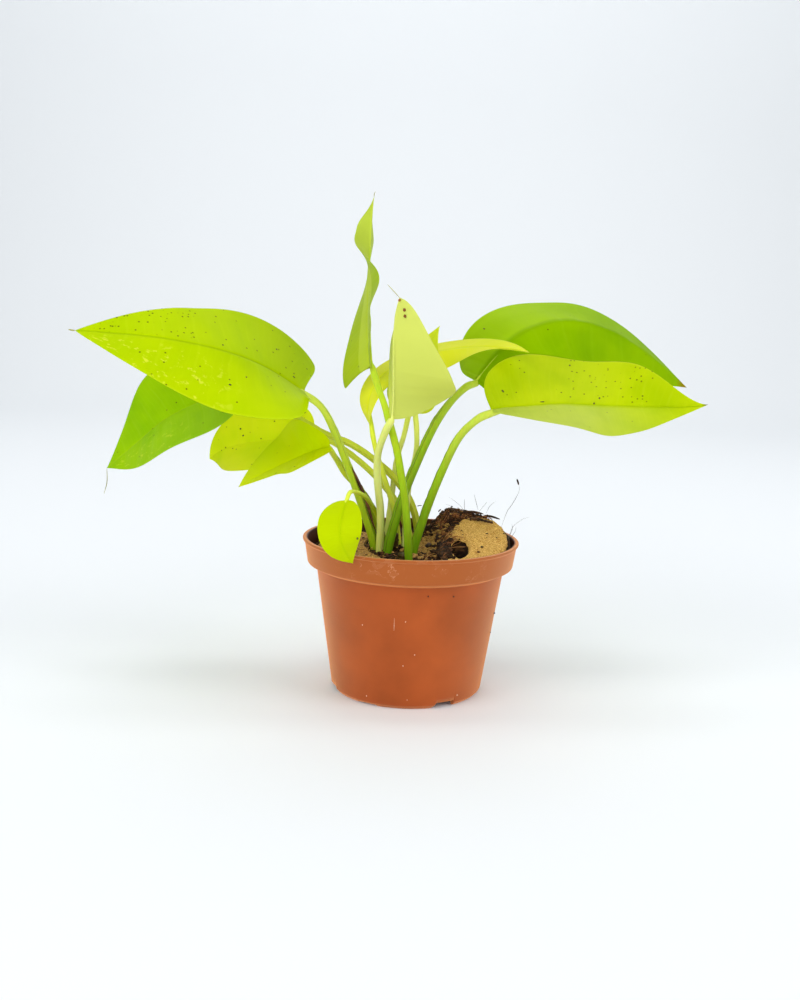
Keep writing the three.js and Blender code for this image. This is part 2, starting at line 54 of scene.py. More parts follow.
# %% [markdown]
# A few small helpers carry everything else. Colours are picked as sRGB hex values, because that is
# how they are read off a screen, but shaders add light, so one function turns them to linear. One
# function adds a shader node with its settings and links. One turns arrays of points and faces into
# a mesh, which is much faster than adding faces one by one, and one closes a skin over rings of
# points. An easing curve and a value noise shape whatever is soft or uneven.

# %% Colours, nodes and meshes
# settings of a map range that eases in and out
SMOOTH = {"interpolation_type": "SMOOTHSTEP"}


def linear(code):
    """Each channel c of an sRGB hex becomes c / 12.92 when dark, else ((c + 0.055) / 1.055) ** 2.4."""
    channels = np.array([int(code[i:i + 2], 16) for i in (0, 2, 4)]) / 255
    low = channels / 12.92
    high = ((channels + 0.055) / 1.055) ** 2.4
    return (*np.where(channels <= 0.04045, low, high).tolist(), 1.0)


def add(tree, kind, inputs=(), stops=(), **settings):
    """Adds one node: settings are its properties, and stops the places and hex colours of a ramp.
    Inputs go by name, or as a list in the order of the sockets in use. Each is a value, a hex
    colour, a socket to link, or a node, which stands for its first output in use."""
    made = tree.nodes.new("ShaderNode" + kind)
    for name, value in settings.items():
        setattr(made, name, value)
    for number, (position, code) in enumerate(stops):
        ramp = made.color_ramp.elements
        stop = ramp[number] if number < 2 else ramp.new(position)
        stop.position = position
        stop.color = linear(code)
    if isinstance(inputs, dict):
        pairs = [(made.inputs[name], value) for name, value in inputs.items()]
    else:
        pairs = zip([socket for socket in made.inputs if socket.enabled], inputs)
    for socket, value in pairs:
        if isinstance(value, str):
            value = linear(value)
        if isinstance(value, bpy.types.Node):
            value = next(output for output in value.outputs if output.enabled)
        if isinstance(value, bpy.types.NodeSocket):
            tree.links.new(value, socket)
        else:
            socket.default_value = value
    return made


def new_material(name):
    """An empty node material and its tree."""
    material = bpy.data.materials.new(name)
    material.use_nodes = True
    material.node_tree.nodes.clear()
    return material, material.node_tree


def mesh_piece(name, points, quads, triangles, material, slot, replaces=(), attributes=None):
    """Puts millimetre points and faces into a mesh in metres, smooth, with values per point."""
    mesh = bpy.data.meshes.new(name)
    corners = np.concatenate([np.ravel(quads), np.ravel(triangles)]).astype(np.int32)
    sizes = np.concatenate([np.full(len(quads), 4), np.full(len(triangles), 3)])
    starts = np.concatenate([[0], np.cumsum(sizes)[:-1]]).astype(np.int32)
    mesh.vertices.add(len(points))
    mesh.vertices.foreach_set("co", (np.asarray(points, float) * MM).astype(np.float32).ravel())
    mesh.loops.add(len(corners))
    mesh.loops.foreach_set("vertex_index", corners)
    mesh.polygons.add(len(sizes))
    mesh.polygons.foreach_set("loop_start", starts)
    mesh.update(calc_edges=True)
    mesh.shade_smooth()
    for key, values in (attributes or {}).items():
        layer = mesh.attributes.new(key, "FLOAT", "POINT")
        layer.data.foreach_set("value", np.asarray(values, np.float32).ravel())
    mesh.validate()
    piece = bpy.data.objects.new(name, mesh)
    bpy.context.scene.collection.objects.link(piece)
    mesh.materials.append(material)
    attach(piece, "root")
    if replaces:
        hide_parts(*replaces)
    return piece


def skin(rings, joined=False):
    """Points, quads and triangles of a skin over rings of equally many points. Joined, the last
    ring meets the first, as on a doughnut; else a point at the middle of each end closes it."""
    count, around = rings.shape[:2]
    points = rings.reshape(-1, 3)
    row = np.arange(count if joined else count - 1)[:, None] * around
    next_row = (row + around) % (count * around)
    here = np.arange(around)
    after = (here + 1) % around
    quads = np.stack([row + here, row + after, next_row + after, next_row + here], -1).reshape(-1, 4)
    if joined:
        return points, quads, ()
    points = np.concatenate([points, rings[:1].mean(1), rings[-1:].mean(1)])
    last = (count - 1) * around
    start_fan = np.stack([np.full(around, count * around), after, here], -1)
    end_fan = np.stack([np.full(around, count * around + 1), last + here, last + after], -1)
    return points, quads, np.concatenate([start_fan, end_fan])


def eased(x):
    """Smoothstep: 3x^2 - 2x^3 between 0 and 1, flat outside."""
    x = np.clip(x, 0, 1)
    return x * x * (3 - 2 * x)


def noise(x, y, z, cell, seed):
    """Random values at the corners of cells of the given size, eased between them, from -1 to 1."""
    table = np.random.default_rng(seed).uniform(-1, 1, (32, 32, 32))
    shape = np.broadcast(x, y, z).shape
    where = np.stack([np.broadcast_to(c, shape) for c in (x, y, z)]) / cell
    low = np.floor(where).astype(int)
    part = eased(where - low)
    total = np.zeros(shape)
    for corner in np.ndindex(2, 2, 2):
        share = np.prod([part[i] if corner[i] else 1 - part[i] for i in range(3)], axis=0)
        total += share * table[tuple((low[i] + corner[i]) % 32 for i in range(3))]
    return total

# %% [markdown]
# The camera stands where the photograph's did. It was worked out from the pot's rim and foot: about
# half a metre in front, a hand above the leaves' middle, looking down ten degrees and tilted two.
# A camera looks along its own -Z with +Y up, so its matrix holds the right, up and backward ways.

# %% Camera
def looking(right, up, back, place):
    """Matrix whose columns are a thing's right, up and backward ways and its place in metres."""
    matrix = np.eye(4)
    matrix[:3] = np.stack([right, up, back, place], 1)
    return Matrix(matrix.tolist())


camera_place = np.array([-5.9, -551, 188]) * MM
look_down = math.radians(9.75)
tilt = math.radians(1.92)
ahead = np.array([0, math.cos(look_down), -math.sin(look_down)])
level_right = np.array([1, 0, 0])
level_up = np.array([0, math.sin(look_down), math.cos(look_down)])
right = math.cos(tilt) * level_right + math.sin(tilt) * level_up
up = math.cos(tilt) * level_up - math.sin(tilt) * level_right

camera_data = bpy.data.cameras.new("camera")
camera_data.sensor_fit = "VERTICAL"
camera_data.sensor_height = 36
camera_data.lens = 41.4
camera_data.clip_start = 0.02
camera = bpy.data.objects.new("camera", camera_data)
bpy.context.scene.collection.objects.link(camera)
camera.matrix_world = looking(right, up, -ahead, camera_place)
bpy.context.scene.camera = camera
print("camera at", camera_place.round(3), "m, lens", camera_data.lens, "mm")

# %% [markdown]
# The photograph is high key: the ground is almost white, with the faintest shadow round the pot. A
# single sheet of paper curved up behind the plant gives that, since it has no corner or horizon. It
# is a profile carried sideways, and soft lamps as large as the plant light it from above.

# %% Studio
paper, tree = new_material("matt_white_paper")
grain = add(tree, "TexNoise", {"Scale": 900.0, "Detail": 2.0})
tooth = add(tree, "Bump", {"Height": grain, "Strength": 0.02, "Distance": 0.0002})
white = add(tree, "BsdfPrincipled", {"Base Color": "f3f6f8", "Roughness": 0.9, "Normal": tooth})
add(tree, "OutputMaterial", {"Surface": white})

# the paper in metres: where it starts and ends on the ground, its curve and its two sides
ground_start, ground_end, curve_radius, wall_height, half_width = -3, 1.3, 0.9, 3.0, 5
GROUND_SHARE, CURVE_SHARE, WALL_SHARE = 0.3, 0.4, 0.3     # of its rows
ROWS, COLUMNS = 60, 24
sweep = np.linspace(0, 1, ROWS)
arc = np.clip((sweep - GROUND_SHARE) / CURVE_SHARE, 0, 1) * math.pi / 2
ground = ground_start + (ground_end - ground_start) * np.clip(sweep / GROUND_SHARE, 0, 1)
wall = wall_height * np.clip((sweep - GROUND_SHARE - CURVE_SHARE) / WALL_SHARE, 0, 1)
sweep_y = ground + curve_radius * np.sin(arc)
sweep_z = curve_radius * (1 - np.cos(arc)) + wall
sides = np.linspace(-half_width, half_width, COLUMNS)
sheet_points = np.stack(np.broadcast_arrays(sides[None, :], sweep_y[:, None], sweep_z[:, None]), -1)
row = np.arange(ROWS - 1)[:, None] * COLUMNS + np.arange(COLUMNS - 1)
sheet_faces = np.stack([row, row + 1, row + COLUMNS + 1, row + COLUMNS], -1).reshape(-1, 4)
backdrop_mesh = bpy.data.meshes.new("backdrop")
backdrop_mesh.from_pydata(sheet_points.reshape(-1, 3).tolist(), [], sheet_faces.tolist())
backdrop_mesh.shade_smooth()
backdrop_mesh.materials.append(paper)
backdrop = bpy.data.objects.new("backdrop", backdrop_mesh)
bpy.context.scene.collection.objects.link(backdrop)

world = bpy.data.worlds.new("soft_white_room")
world.use_nodes = True
world.node_tree.nodes["Background"].inputs["Color"].default_value = linear("f0f4f9")
world.node_tree.nodes["Background"].inputs["Strength"].default_value = 0.36
bpy.context.scene.world = world


def unit(ways):
    """Each way divided by its own length."""
    return ways / np.linalg.norm(ways, axis=-1)[..., None]


def lamp(name, place, aim, size, watts):
    """White square area lamp that looks from its place to its aim, in metres."""
    data = bpy.data.lights.new(name, "AREA")
    data.size = size
    data.energy = watts
    made = bpy.data.objects.new(name, data)
    bpy.context.scene.collection.objects.link(made)
    back = unit(np.array(place, float) - np.array(aim, float))
    side = unit(np.cross([0, 0, 1], back))
    made.matrix_world = looking(side, np.cross(back, side), back, place)


lamp("front_left", (-1.2, -0.9, 0.9), (0, 0, 0.1), 1.0, 10.5)
lamp("fill_right", (1.3, -0.6, 0.8), (0, 0, 0.12), 1.0, 10.5)
lamp("front_low", (-0.25, -1.3, 0.45), (0, 0, 0.1), 1.2, 9.5)
lamp("back_light", (0.1, 1.0, 1.5), (0, 0, 0.12), 1.4, 3.4)
lamp("wall_wash", (0, 0.2, 2.2), (0, 2.2, 1.4), 1.6, 24.5)
bpy.context.scene.view_settings.view_transform = "Standard"
print("studio: paper sweep, world and 5 lamps")

# %% [markdown]
# A pothos leaf is a heart drawn out to a point. Flat, it is given by how far each point lies
# forward of the base and how far across from the midrib. The side veins leave the midrib at steps
# and sweep forward, so one value, along, numbers the veins, and another, across, runs from the
# right margin over the midrib to the left one. The flat shape is then bent: the midrib is a curve
# in space, the upper side looks a given way at base, middle and tip, and each half is folded up or
# down. These are the same values as the solid's, so the finer blade lies where the solid does.

# %% Leaf values
LEAVES = {
    "leaf_left_large": dict(
        midrib=[(-53, -8, 145), (-76, -12, 160), (-82, -52, 170), (-152, -38, 171)],
        width=75, right_share=0.9, shoulder=0.52, lobe=0.09, margin=(0.8, 0.9),
        faces=[(65, 40), (0, 35), (0, 42)], folds=[(25, -6, 8), (0, -12, 4)],
        petiole=[(-18, 5, 69), (-24, 4, 88), (-33, 1, 112), (-39, -2, 127), (-45, -5, 138)],
        radius=(2.2, 1.6)),
    "leaf_left_hanging": dict(
        midrib=[(-83, 14, 146), (-126, 8, 129), (-119, 3, 130), (-152, 14, 102)],
        width=66, shoulder=0.88, lobe=0.03, margin=(0.85, 1.05),
        faces=[(-20, 42), (-26, 40), (-35, 39)], folds=[(16, 18, 0), (6, 6, 4)],
        petiole=[(4, 25, 69), (0, 22, 87), (-11, 18, 103), (-29, 13, 117), (-46, 12, 124),
                 (-65, 11, 135)],
        radius=(1.8, 1.4)),
    "leaf_left_middle": dict(
        midrib=[(-50, 19, 121), (-77, 20, 116), (-95, 31, 116), (-105, 38, 105)],
        width=49, shoulder=0.88, lobe=0.09, margin=(0.76, 0.95),
        faces=[(-3, 50), (-2, 43), (-13, 25)], folds=[(15, 20, 15), (11, 16, 16)],
        petiole=[(0, 18, 69), (-6, 14, 86), (-14, 12, 98), (-26, 14, 109), (-40, 18, 118)],
        radius=(1.7, 1.3)),
    "leaf_left_pointed": dict(
        midrib=[(-40, -8, 119), (-47, -13, 119), (-66, -2, 108), (-82, -18, 100)],
        width=40, shoulder=0.9, lobe=0.02, margin=(0.94, 1.09),
        faces=[(-4, 28), (-17, 69), (0, 77)], folds=[(43, 24, 14), (50, 5, -6)],
        petiole=[(-14, 11, 69), (-18, 10, 82), (-25, 9, 95), (-33, 7, 104), (-37, 3, 111)],
        radius=(1.8, 1.3)),
    "leaf_rim_small": dict(
        midrib=[(-30, -45, 100), (-33, -57, 88), (-33, -59, 84), (-26, -48, 72)],
        width=20, shoulder=0.88, lobe=0.04, margin=(0.8, 1.1),
        faces=[(-20, 26), (2, 8), (9, -9)], folds=[(15, 9, 6), (6, 5, 8)],
        petiole=[(-13, 6, 69), (-16, 3, 82), (-19, -3, 90), (-23, -19, 98), (-28, -38, 103)],
        radius=(1.2, 0.9)),
    "leaf_tall_twisted": dict(
        midrib=[(-22, -6, 157), (-25, -2, 178), (-25, 9, 226), (-23, 12, 237)],
        width=60, shoulder=0.45, lobe=0.17, margin=(0.55, 1.1),
        faces=[(-92, -8), (-98, 0), (-166, 0)],
        folds=[(32, 30, 30, 38, 80), (-5, -12, -36, -3, 62)],
        petiole=[(-1, -24, 69), (-3, -24, 93), (-6, -22, 110), (-9, -18, 123), (-14, -12, 138),
                 (-18, -8, 148)],
        radius=(2.0, 1.6)),
    "leaf_centre_pale": dict(
        midrib=[(-11, -24, 135), (-9, -26, 150), (-13, -55, 172), (-9, -46, 190)],
        width=52, right_share=0.8, shoulder=0.88, lobe=0.03, margin=(0.98, 0.72),
        faces=[(185, 10), (160, 20), (164, 10)], folds=[(8, -10, -15), (80, 75, 70)],
        petiole=[(-15, -1, 69), (-15, -3, 86), (-17, -8, 104), (-17, -13, 117), (-14, -20, 128)],
        radius=(2.0, 1.6)),
    "leaf_arching": dict(
        midrib=[(-22, 9, 129), (-30, 4, 164), (23, 40, 171), (52, -12, 167)],
        width=34, shoulder=0.89, lobe=0.05, margin=(0.68, 1.04),
        faces=[(-73, 42), (-17, 47), (2, 77)], folds=[(0, -18, 10), (10, -4, 26)],
        petiole=[(-6, 12, 69), (-9, 8, 88), (-14, 6, 103), (-19, 7, 118)],
        radius=(1.6, 1.2)),
    "leaf_right_rear": dict(
        midrib=[(29, 16, 151), (62, 16, 202), (101, 36, 181), (142, 53, 149)],
        width=84, shoulder=0.73, lobe=0.07, margin=(0.66, 0.95),
        faces=[(-3, 82), (-20, 40), (20, 46)], folds=[(3, -20, -25), (-32, -29, -4)],
        petiole=[(-11, -5, 69), (-7, -6, 87), (-2, -5, 103), (8, 0, 127), (16, 6, 140),
                 (24, 12, 148)],
        radius=(2.3, 1.8)),
    "leaf_right_front": dict(
        midrib=[(35, -19, 140), (60, -15, 147), (117, -20, 141), (132, -30, 147)],
        width=70, shoulder=0.75, lobe=0.04, margin=(0.68, 1.22),
        faces=[(-5, 82), (3, 51), (-5, 14)], folds=[(36, -2, 30), (8, 22, 40)],
        petiole=[(1, -8, 69), (6, -9, 88), (12, -11, 106), (20, -13, 125), (28, -17, 135)],
        radius=(2.4, 1.8)),
    "leaf_centre_spike": dict(
        midrib=[(0, -4, 136), (-1, -5, 152), (3, -8, 166), (10, -10, 178)],
        width=22, shoulder=0.7, lobe=0.06, margin=(0.8, 1.15),
        faces=[(0, 10), (0, 10), (0, 10)], folds=[(12, 12, 12), (12, 12, 12)],
        petiole=[(-3, 6, 69), (-2, 7, 97), (1, 3, 116), (1, -1, 127)],
        radius=(1.6, 1.2)),
    "leaf_rear_young": dict(
        midrib=[(-3, 3, 136), (-3, 13, 146), (0, 31, 152), (3, 48, 142)],
        width=24, shoulder=0.7, lobe=0.06, margin=(0.8, 1.15),
        faces=[(0, 30), (0, 70), (0, 95)], folds=[(12, 12, 12), (12, 12, 12)],
        petiole=[(-12, 23, 69), (-10, 25, 92), (-8, 18, 111), (-5, 9, 124)],
        radius=(1.6, 1.2)),
}
PETIOLE_DEPTH = 14     # how far a petiole stands in the mix
RIB_REACH = 0.7        # the midrib stands out under this share of the blade

# %% [markdown]
# The midrib is a cubic Bezier curve, measured out by its real length, so that a share of the leaf
# means millimetres and not a curve parameter. Every value along it is read from one fine table by
# straight interpolation, for whole arrays at once.

# %% Leaf frames
FINE_STEPS = 1201      # curve parameters by which the midrib's length is measured
TABLE_STEPS = 401      # even steps of length in a leaf's table
ROOT_POWER = 1.35      # how rows bunch up at the base, on the midrib
EDGE_POWER = 1.15      # and on the margin
SWEEP_POWER = 1.25     # how the side veins bend forward on their way out
LOBE_PEAK = 0.2 * 0.8 ** 4     # the most that t (1 - t)^4 comes to


def look_to(bearing, height):
    """Unit way for a bearing from the front and a height above level: sin and cos of both."""
    a, e = math.radians(bearing), math.radians(height)
    return np.array([math.sin(a) * math.cos(e), -math.cos(a) * math.cos(e), math.sin(e)])


def reach_of(path):
    """Length along a path up to each of its points."""
    return np.concatenate([[0], np.cumsum(np.linalg.norm(np.diff(path, axis=0), axis=1))])


def bezier(a, b, c, d, u):
    """Cubic curve: (1 - u)^3 a + 3 u (1 - u)^2 b + 3 u^2 (1 - u) c + u^3 d."""
    return (1 - u) ** 3 * a + 3 * u * (1 - u) ** 2 * b + 3 * u * u * (1 - u) * c + u ** 3 * d


def table_of(leaf):
    """Place, way to the tip, upper normal and way to the left at even steps of the midrib."""
    a, b, c, d = np.array(leaf["midrib"], float)
    u = np.linspace(0, 1, FINE_STEPS)[:, None]
    reach = reach_of(bezier(a, b, c, d, u))
    u = np.interp(np.linspace(0, reach[-1], TABLE_STEPS), reach, u[:, 0])[:, None]
    tip = unit(3 * ((1 - u) ** 2 * (b - a) + 2 * u * (1 - u) * (c - b) + u * u * (d - c)))
    s = np.linspace(0, 1, TABLE_STEPS)[:, None]
    base, middle, end = [look_to(*face) for face in leaf["faces"]]
    normal = (1 - s) ** 2 * base + 2 * s * (1 - s) * middle + s * s * end
    normal = unit(normal - (normal * tip).sum(1)[:, None] * tip)
    return {"length": reach[-1], "place": bezier(a, b, c, d, u), "tip": tip, "normal": normal,
            "left": np.cross(normal, tip)}


def read(table, key, share):
    """Value of a leaf's table at a share of the length, by straight interpolation."""
    x = np.clip(share, 0, 1) * (TABLE_STEPS - 1)
    low = np.minimum(x.astype(int), TABLE_STEPS - 2)
    part = (x - low)[..., None]
    return table[key][low] * (1 - part) + table[key][low + 1] * part


def stations(values, share):
    """Values at even stations, eased from one to the next."""
    values = np.array(values, float)
    x = np.clip(share, 0, 1) * (len(values) - 1)
    low = np.minimum(x.astype(int), len(values) - 2)
    return values[low] + (values[low + 1] - values[low]) * eased(x - low)


def flat_leaf(leaf, length, t, v):
    """Forward and across in mm. Half the width swells as sin(pi t^shoulder) to a power that goes
    from the base's to the tip's margin value; the margin runs back at the base by the lobe."""
    share = leaf.get("right_share", 1)
    half = leaf["width"] * np.where(v >= 0, 1, share) / (1 + share)
    near, far = leaf["margin"]
    swell = np.maximum(np.sin(math.pi * t ** leaf["shoulder"]), 0) ** (near + (far - near) * t)
    root = length * t ** ROOT_POWER
    edge = length * (t ** EDGE_POWER - leaf["lobe"] * t * (1 - t) ** 4 / LOBE_PEAK)
    return root + (edge - root) * np.abs(v) ** SWEEP_POWER, half * swell * np.abs(v)


def blade_points(leaf, table, t, v):
    """Points in mm: the table's place, beyond its ends along the tip, across on the folded half."""
    length = table["length"]
    forward, across = flat_leaf(leaf, length, t, v)
    share = forward / length
    beyond = np.minimum(forward, 0) + np.maximum(forward - length, 0)
    left, right_half = leaf["folds"]
    fold = np.radians(np.where(v >= 0, stations(left, share), stations(right_half, share)))
    side = np.where(v >= 0, 1, -1)
    return (read(table, "place", share) + read(table, "tip", share) * beyond[..., None]
            + read(table, "left", share) * (side * across * np.cos(fold))[..., None]
            + read(table, "normal", share) * (across * np.sin(fold))[..., None])


def blade_normals(leaf, table, t, v):
    """Upper normal: the way forward crossed with the way to the left, from points a little off."""
    t_off, v_off = 0.01, 0.05
    t = np.clip(t, 0.012, 0.988)
    v = np.clip(v, -0.94, 0.94)
    forward = blade_points(leaf, table, t + t_off, v) - blade_points(leaf, table, t - t_off, v)
    leftward = blade_points(leaf, table, t, v + v_off) - blade_points(leaf, table, t, v - v_off)
    return unit(np.cross(forward, leftward))


tables = {name: table_of(leaf) for name, leaf in LEAVES.items()}
for name, table in tables.items():
    print(name, "midrib", round(table["length"]), "mm")

# %% [markdown]
# The blade is a thin closed skin: for each step along the leaf, a loop of points runs over the
# upper side from margin to margin and back along the lower side. It is thickest at the midrib and
# comes to a fine edge. Relief is added along the normal: the midrib sinks into a narrow furrow, the
# side veins are faint furrows with soft pillows between them, and slow waves keep the waxy surface
# from looking stamped.

# %% Blades
BLADE_MIDDLE = 0.62    # mm thick beside the midrib
BLADE_EDGE = 0.16
HALF_POINTS = 33       # points from the midrib to the margin
FURROW_WIDE = 0.75     # half width of the furrow in mm
WAVE_CELL = 17         # mm between the waves
VEIN_POWER = 0.9       # below 1, side veins stand a little wider apart towards the tip
FIRST_T, T_SPAN = 0.0008, 0.9987     # the end rings lie just inside the base and the tip


def relief(leaf, t, v, across, seed):
    """Height in mm: a furrow at the midrib, and furrows and pillows at the side veins."""
    furrow = -leaf.get("furrow", 0.4) * np.exp(-(across / FURROW_WIDE) ** 2) * (1 - 0.6 * t)
    wander = 0.035 * noise(t * 60, v * 3, 0, 9, seed)
    phase = leaf.get("veins", 9) * np.maximum(t + wander, 0) ** VEIN_POWER
    reach = np.clip(np.abs(v) * 7, 0, 1) * (1 - np.abs(v) ** 3)
    line = (0.5 + 0.5 * np.cos(2 * math.pi * phase)) ** 6
    pillow = 0.5 - 0.5 * np.cos(2 * math.pi * phase)
    return furrow + reach * leaf.get("quilt", 0.09) * (pillow - 0.7 * line)


def looped(over, under):
    """Rows that run over the upper side from margin to margin, then back along the lower side."""
    return np.concatenate([over, under[:, -2:0:-1]], 1)


def with_ends(values):
    """Each grid of values in one row, then the mean of its first and last rings for the ends."""
    return {key: np.concatenate([np.ravel(grid), [grid[0].mean(), grid[-1].mean()]])
            for key, grid in values.items()}


def blade(leaf, table, seed):
    """Rings of the blade's skin, and for its material the values along and across, the distance
    beside the midrib in mm, and 1 on the upper side."""
    rows = int(np.clip(table["length"] * 1.3, 70, 150))
    x = np.linspace(0, 1, HALF_POINTS)
    half = 0.35 * x + 0.65 * eased(x)
    v = np.concatenate([-half[::-1], half[1:]])
    t = FIRST_T + T_SPAN * np.linspace(0, 1, rows) ** 1.2
    grid_t, grid_v = np.meshgrid(t, v, indexing="ij")
    middle = blade_points(leaf, table, grid_t, grid_v)
    normal = blade_normals(leaf, table, grid_t, grid_v)
    _, across = flat_leaf(leaf, table["length"], grid_t, grid_v)
    height = relief(leaf, grid_t, grid_v, across, seed)
    wave = leaf.get("wave", 0.35) * noise(*np.moveaxis(middle, -1, 0), WAVE_CELL, seed + 1)
    ends = np.clip(np.minimum(grid_t * 14, (1 - grid_t) * 9), 0, 1)
    middle = middle + normal * ((height + wave) * ends)[..., None]
    thick = BLADE_EDGE + (BLADE_MIDDLE - BLADE_EDGE) * (1 - np.abs(grid_v) ** 2)
    thick = thick * np.clip(1 - np.abs(grid_v) ** 24, 0, 1) * np.clip(ends + 0.35, 0, 1)
    half_up = normal * (thick / 2)[..., None]
    rings = looped(middle + half_up, middle - half_up)
    values = {"along": looped(grid_t, grid_t), "across": looped(grid_v, grid_v),
              "beside": looped(across, across),
              "upper": looped(np.ones_like(grid_v), np.zeros_like(grid_v))}
    return rings, with_ends(values)


# %% [markdown]
# A living leaf is a waxy skin over cells full of chlorophyll. Neon pothos has little of it, so the
# leaf is chartreuse and lets much of the light through: that glow from behind is what makes it look
# alive. The material mixes a satin coat, which reflects, with a translucent part, which carries
# light from the far side. Veins, freckles and pale streaks follow the leaf's own two values.

# %% Leaf material
LEAF_ROUGHNESS = 0.4
FINE_VEINS = 4         # fine veins to each side vein


def leaf_material(name, upper, under, vein, deep, furrow, freckles=0.0, streaks=0.0, through=0.42,
                  veins=9, zone=None, painted_light_half=0, pale="d4de84", pale_middle=0.0, shine=0.2,
                  dry_tip=None):
    """Waxy leaf. Side veins show where the cosine of the vein count times along comes near one."""
    material, tree = new_material(name)
    place = add(tree, "TexCoord").outputs["Object"]
    along, across, beside, top = [add(tree, "Attribute", attribute_name=key).outputs["Fac"]
                                  for key in ("along", "across", "beside", "upper")]
    off_midrib = add(tree, "Math", [across], operation="ABSOLUTE")
    # patches about 25 mm wide, cells too fine to show drawn as 1.2 mm grain
    patches = add(tree, "TexNoise", {"Vector": place, "Scale": 40.0, "Detail": 3.0})
    grain = add(tree, "TexNoise", {"Vector": place, "Scale": 800.0, "Detail": 2.0})
    wander = add(tree, "Math", [patches, 0.06, along], operation="MULTIPLY_ADD")
    wander = add(tree, "Math", [wander, 0.0], operation="MAXIMUM")
    bend = add(tree, "Math", [wander, VEIN_POWER], operation="POWER")
    wave = add(tree, "Math", [bend, 2 * math.pi * veins], operation="MULTIPLY")
    wave = add(tree, "Math", [wave], operation="COSINE")
    side_vein = add(tree, "MapRange", [wave, 0.93, 1.0], **SMOOTH)
    fine_wave = add(tree, "Math", [bend, 2 * math.pi * veins * FINE_VEINS], operation="MULTIPLY")
    fine_wave = add(tree, "Math", [fine_wave], operation="COSINE")
    fine_vein = add(tree, "MapRange", [fine_wave, 0.5, 1.0], **SMOOTH)
    off_rib = add(tree, "MapRange", [beside, 0.15, 0.8], **SMOOTH)
    midrib = add(tree, "Math", [1.0, off_rib], operation="SUBTRACT")
    outer = add(tree, "MapRange", [off_midrib, 0.55, 1.0], **SMOOTH)
    inner = add(tree, "Math", [1.0, outer], operation="SUBTRACT")
    side_share = add(tree, "Math", [side_vein, inner], operation="MULTIPLY")
    side_share = add(tree, "Math", [side_share, 0.1], operation="MULTIPLY")
    fine_share = add(tree, "Math", [fine_vein, 0.04], operation="MULTIPLY")
    vein_share = add(tree, "Math", [side_share, fine_share], operation="MAXIMUM")
    furrow_share = add(tree, "Math", [midrib, 0.55], operation="MULTIPLY")
    edge = add(tree, "MapRange", [off_midrib, 0.955, 1.0], **SMOOTH)
    edge_share = add(tree, "Math", [edge, 0.4], operation="MULTIPLY")

    patchy = add(tree, "MapRange", [patches, 0.35, 0.75], **SMOOTH)
    # coats of colour, each laid over the last: how much of it shows, and the colour
    shade = add(tree, "Mix", [patchy, upper, deep], data_type="RGBA")
    coats = [(vein_share, vein), (furrow_share, furrow), (edge_share, vein)]
    if streaks:
        # pale flecks that lie along the side veins, about 1 by 6 mm, near the tip
        stretch = add(tree, "CombineXYZ", [add(tree, "Math", [along, 34.0], operation="MULTIPLY"),
                                           add(tree, "Math", [across, 7.0], operation="MULTIPLY")])
        flecks = add(tree, "TexNoise", {"Vector": stretch, "Scale": 1.0, "Detail": 3.0,
                                        "Roughness": 0.6})
        near_tip = add(tree, "Math", [add(tree, "MapRange", [along, 0.42, 0.6], **SMOOTH),
                                      add(tree, "MapRange", [across, 0.0, 0.5], **SMOOTH)],
                       operation="MULTIPLY")
        share = add(tree, "MapRange", [flecks, 0.56, 0.66], **SMOOTH)
        share = add(tree, "Math", [share, near_tip], operation="MULTIPLY")
        share = add(tree, "Math", [share, streaks], operation="MULTIPLY")
        coats.append((share, "f2f24a"))
    if freckles:
        # dark specks up to 1 mm wide, in cells of 2.1 mm, only in some of the cells
        cells = add(tree, "TexVoronoi", {"Vector": place, "Scale": 470.0}, feature="F1")
        chance = add(tree, "SeparateColor", [cells.outputs["Color"]])
        off_spot = add(tree, "MapRange", [cells.outputs["Distance"], 0.12, 0.28], **SMOOTH)
        spot = add(tree, "Math", [1.0, off_spot], operation="SUBTRACT")
        density = freckles
        if zone:
            start, stop, half, more = zone
            past_start = add(tree, "MapRange", [along, start - 0.06, start + 0.06], **SMOOTH)
            past_stop = add(tree, "MapRange", [along, stop - 0.06, stop + 0.06], **SMOOTH)
            before_stop = add(tree, "Math", [1.0, past_stop], operation="SUBTRACT")
            here = add(tree, "Math", [past_start, before_stop], operation="MULTIPLY")
            on_half = add(tree, "Math", [across, half], operation="MULTIPLY")
            on_half = add(tree, "MapRange", [on_half, 0.02, 0.2], **SMOOTH)
            here = add(tree, "Math", [here, on_half], operation="MULTIPLY")
            density = add(tree, "Math", [here, more, freckles], operation="MULTIPLY_ADD")
        some = add(tree, "Math", [chance, density], operation="ADD")
        some = add(tree, "Math", [some, 1.0], operation="GREATER_THAN")
        share = add(tree, "Math", [spot, some], operation="MULTIPLY")
        share = add(tree, "Math", [share, 0.8], operation="MULTIPLY")
        coats.append((share, "5c6410"))
    if painted_light_half:
        # painted highlight: the half that leans to the light is painted paler, more so towards its base
        leaning = add(tree, "Math", [across, painted_light_half], operation="MULTIPLY")
        leaning = add(tree, "MapRange", [leaning, 0.02, 0.14], **SMOOTH)
        far = add(tree, "MapRange", [along, 0.35, 0.95], **SMOOTH)
        near = add(tree, "Math", [1.0, far], operation="SUBTRACT")
        leaning = add(tree, "Math", [leaning, near], operation="MULTIPLY")
        coats.append((add(tree, "Math", [leaning, 0.45], operation="MULTIPLY"), pale))
    if pale_middle:
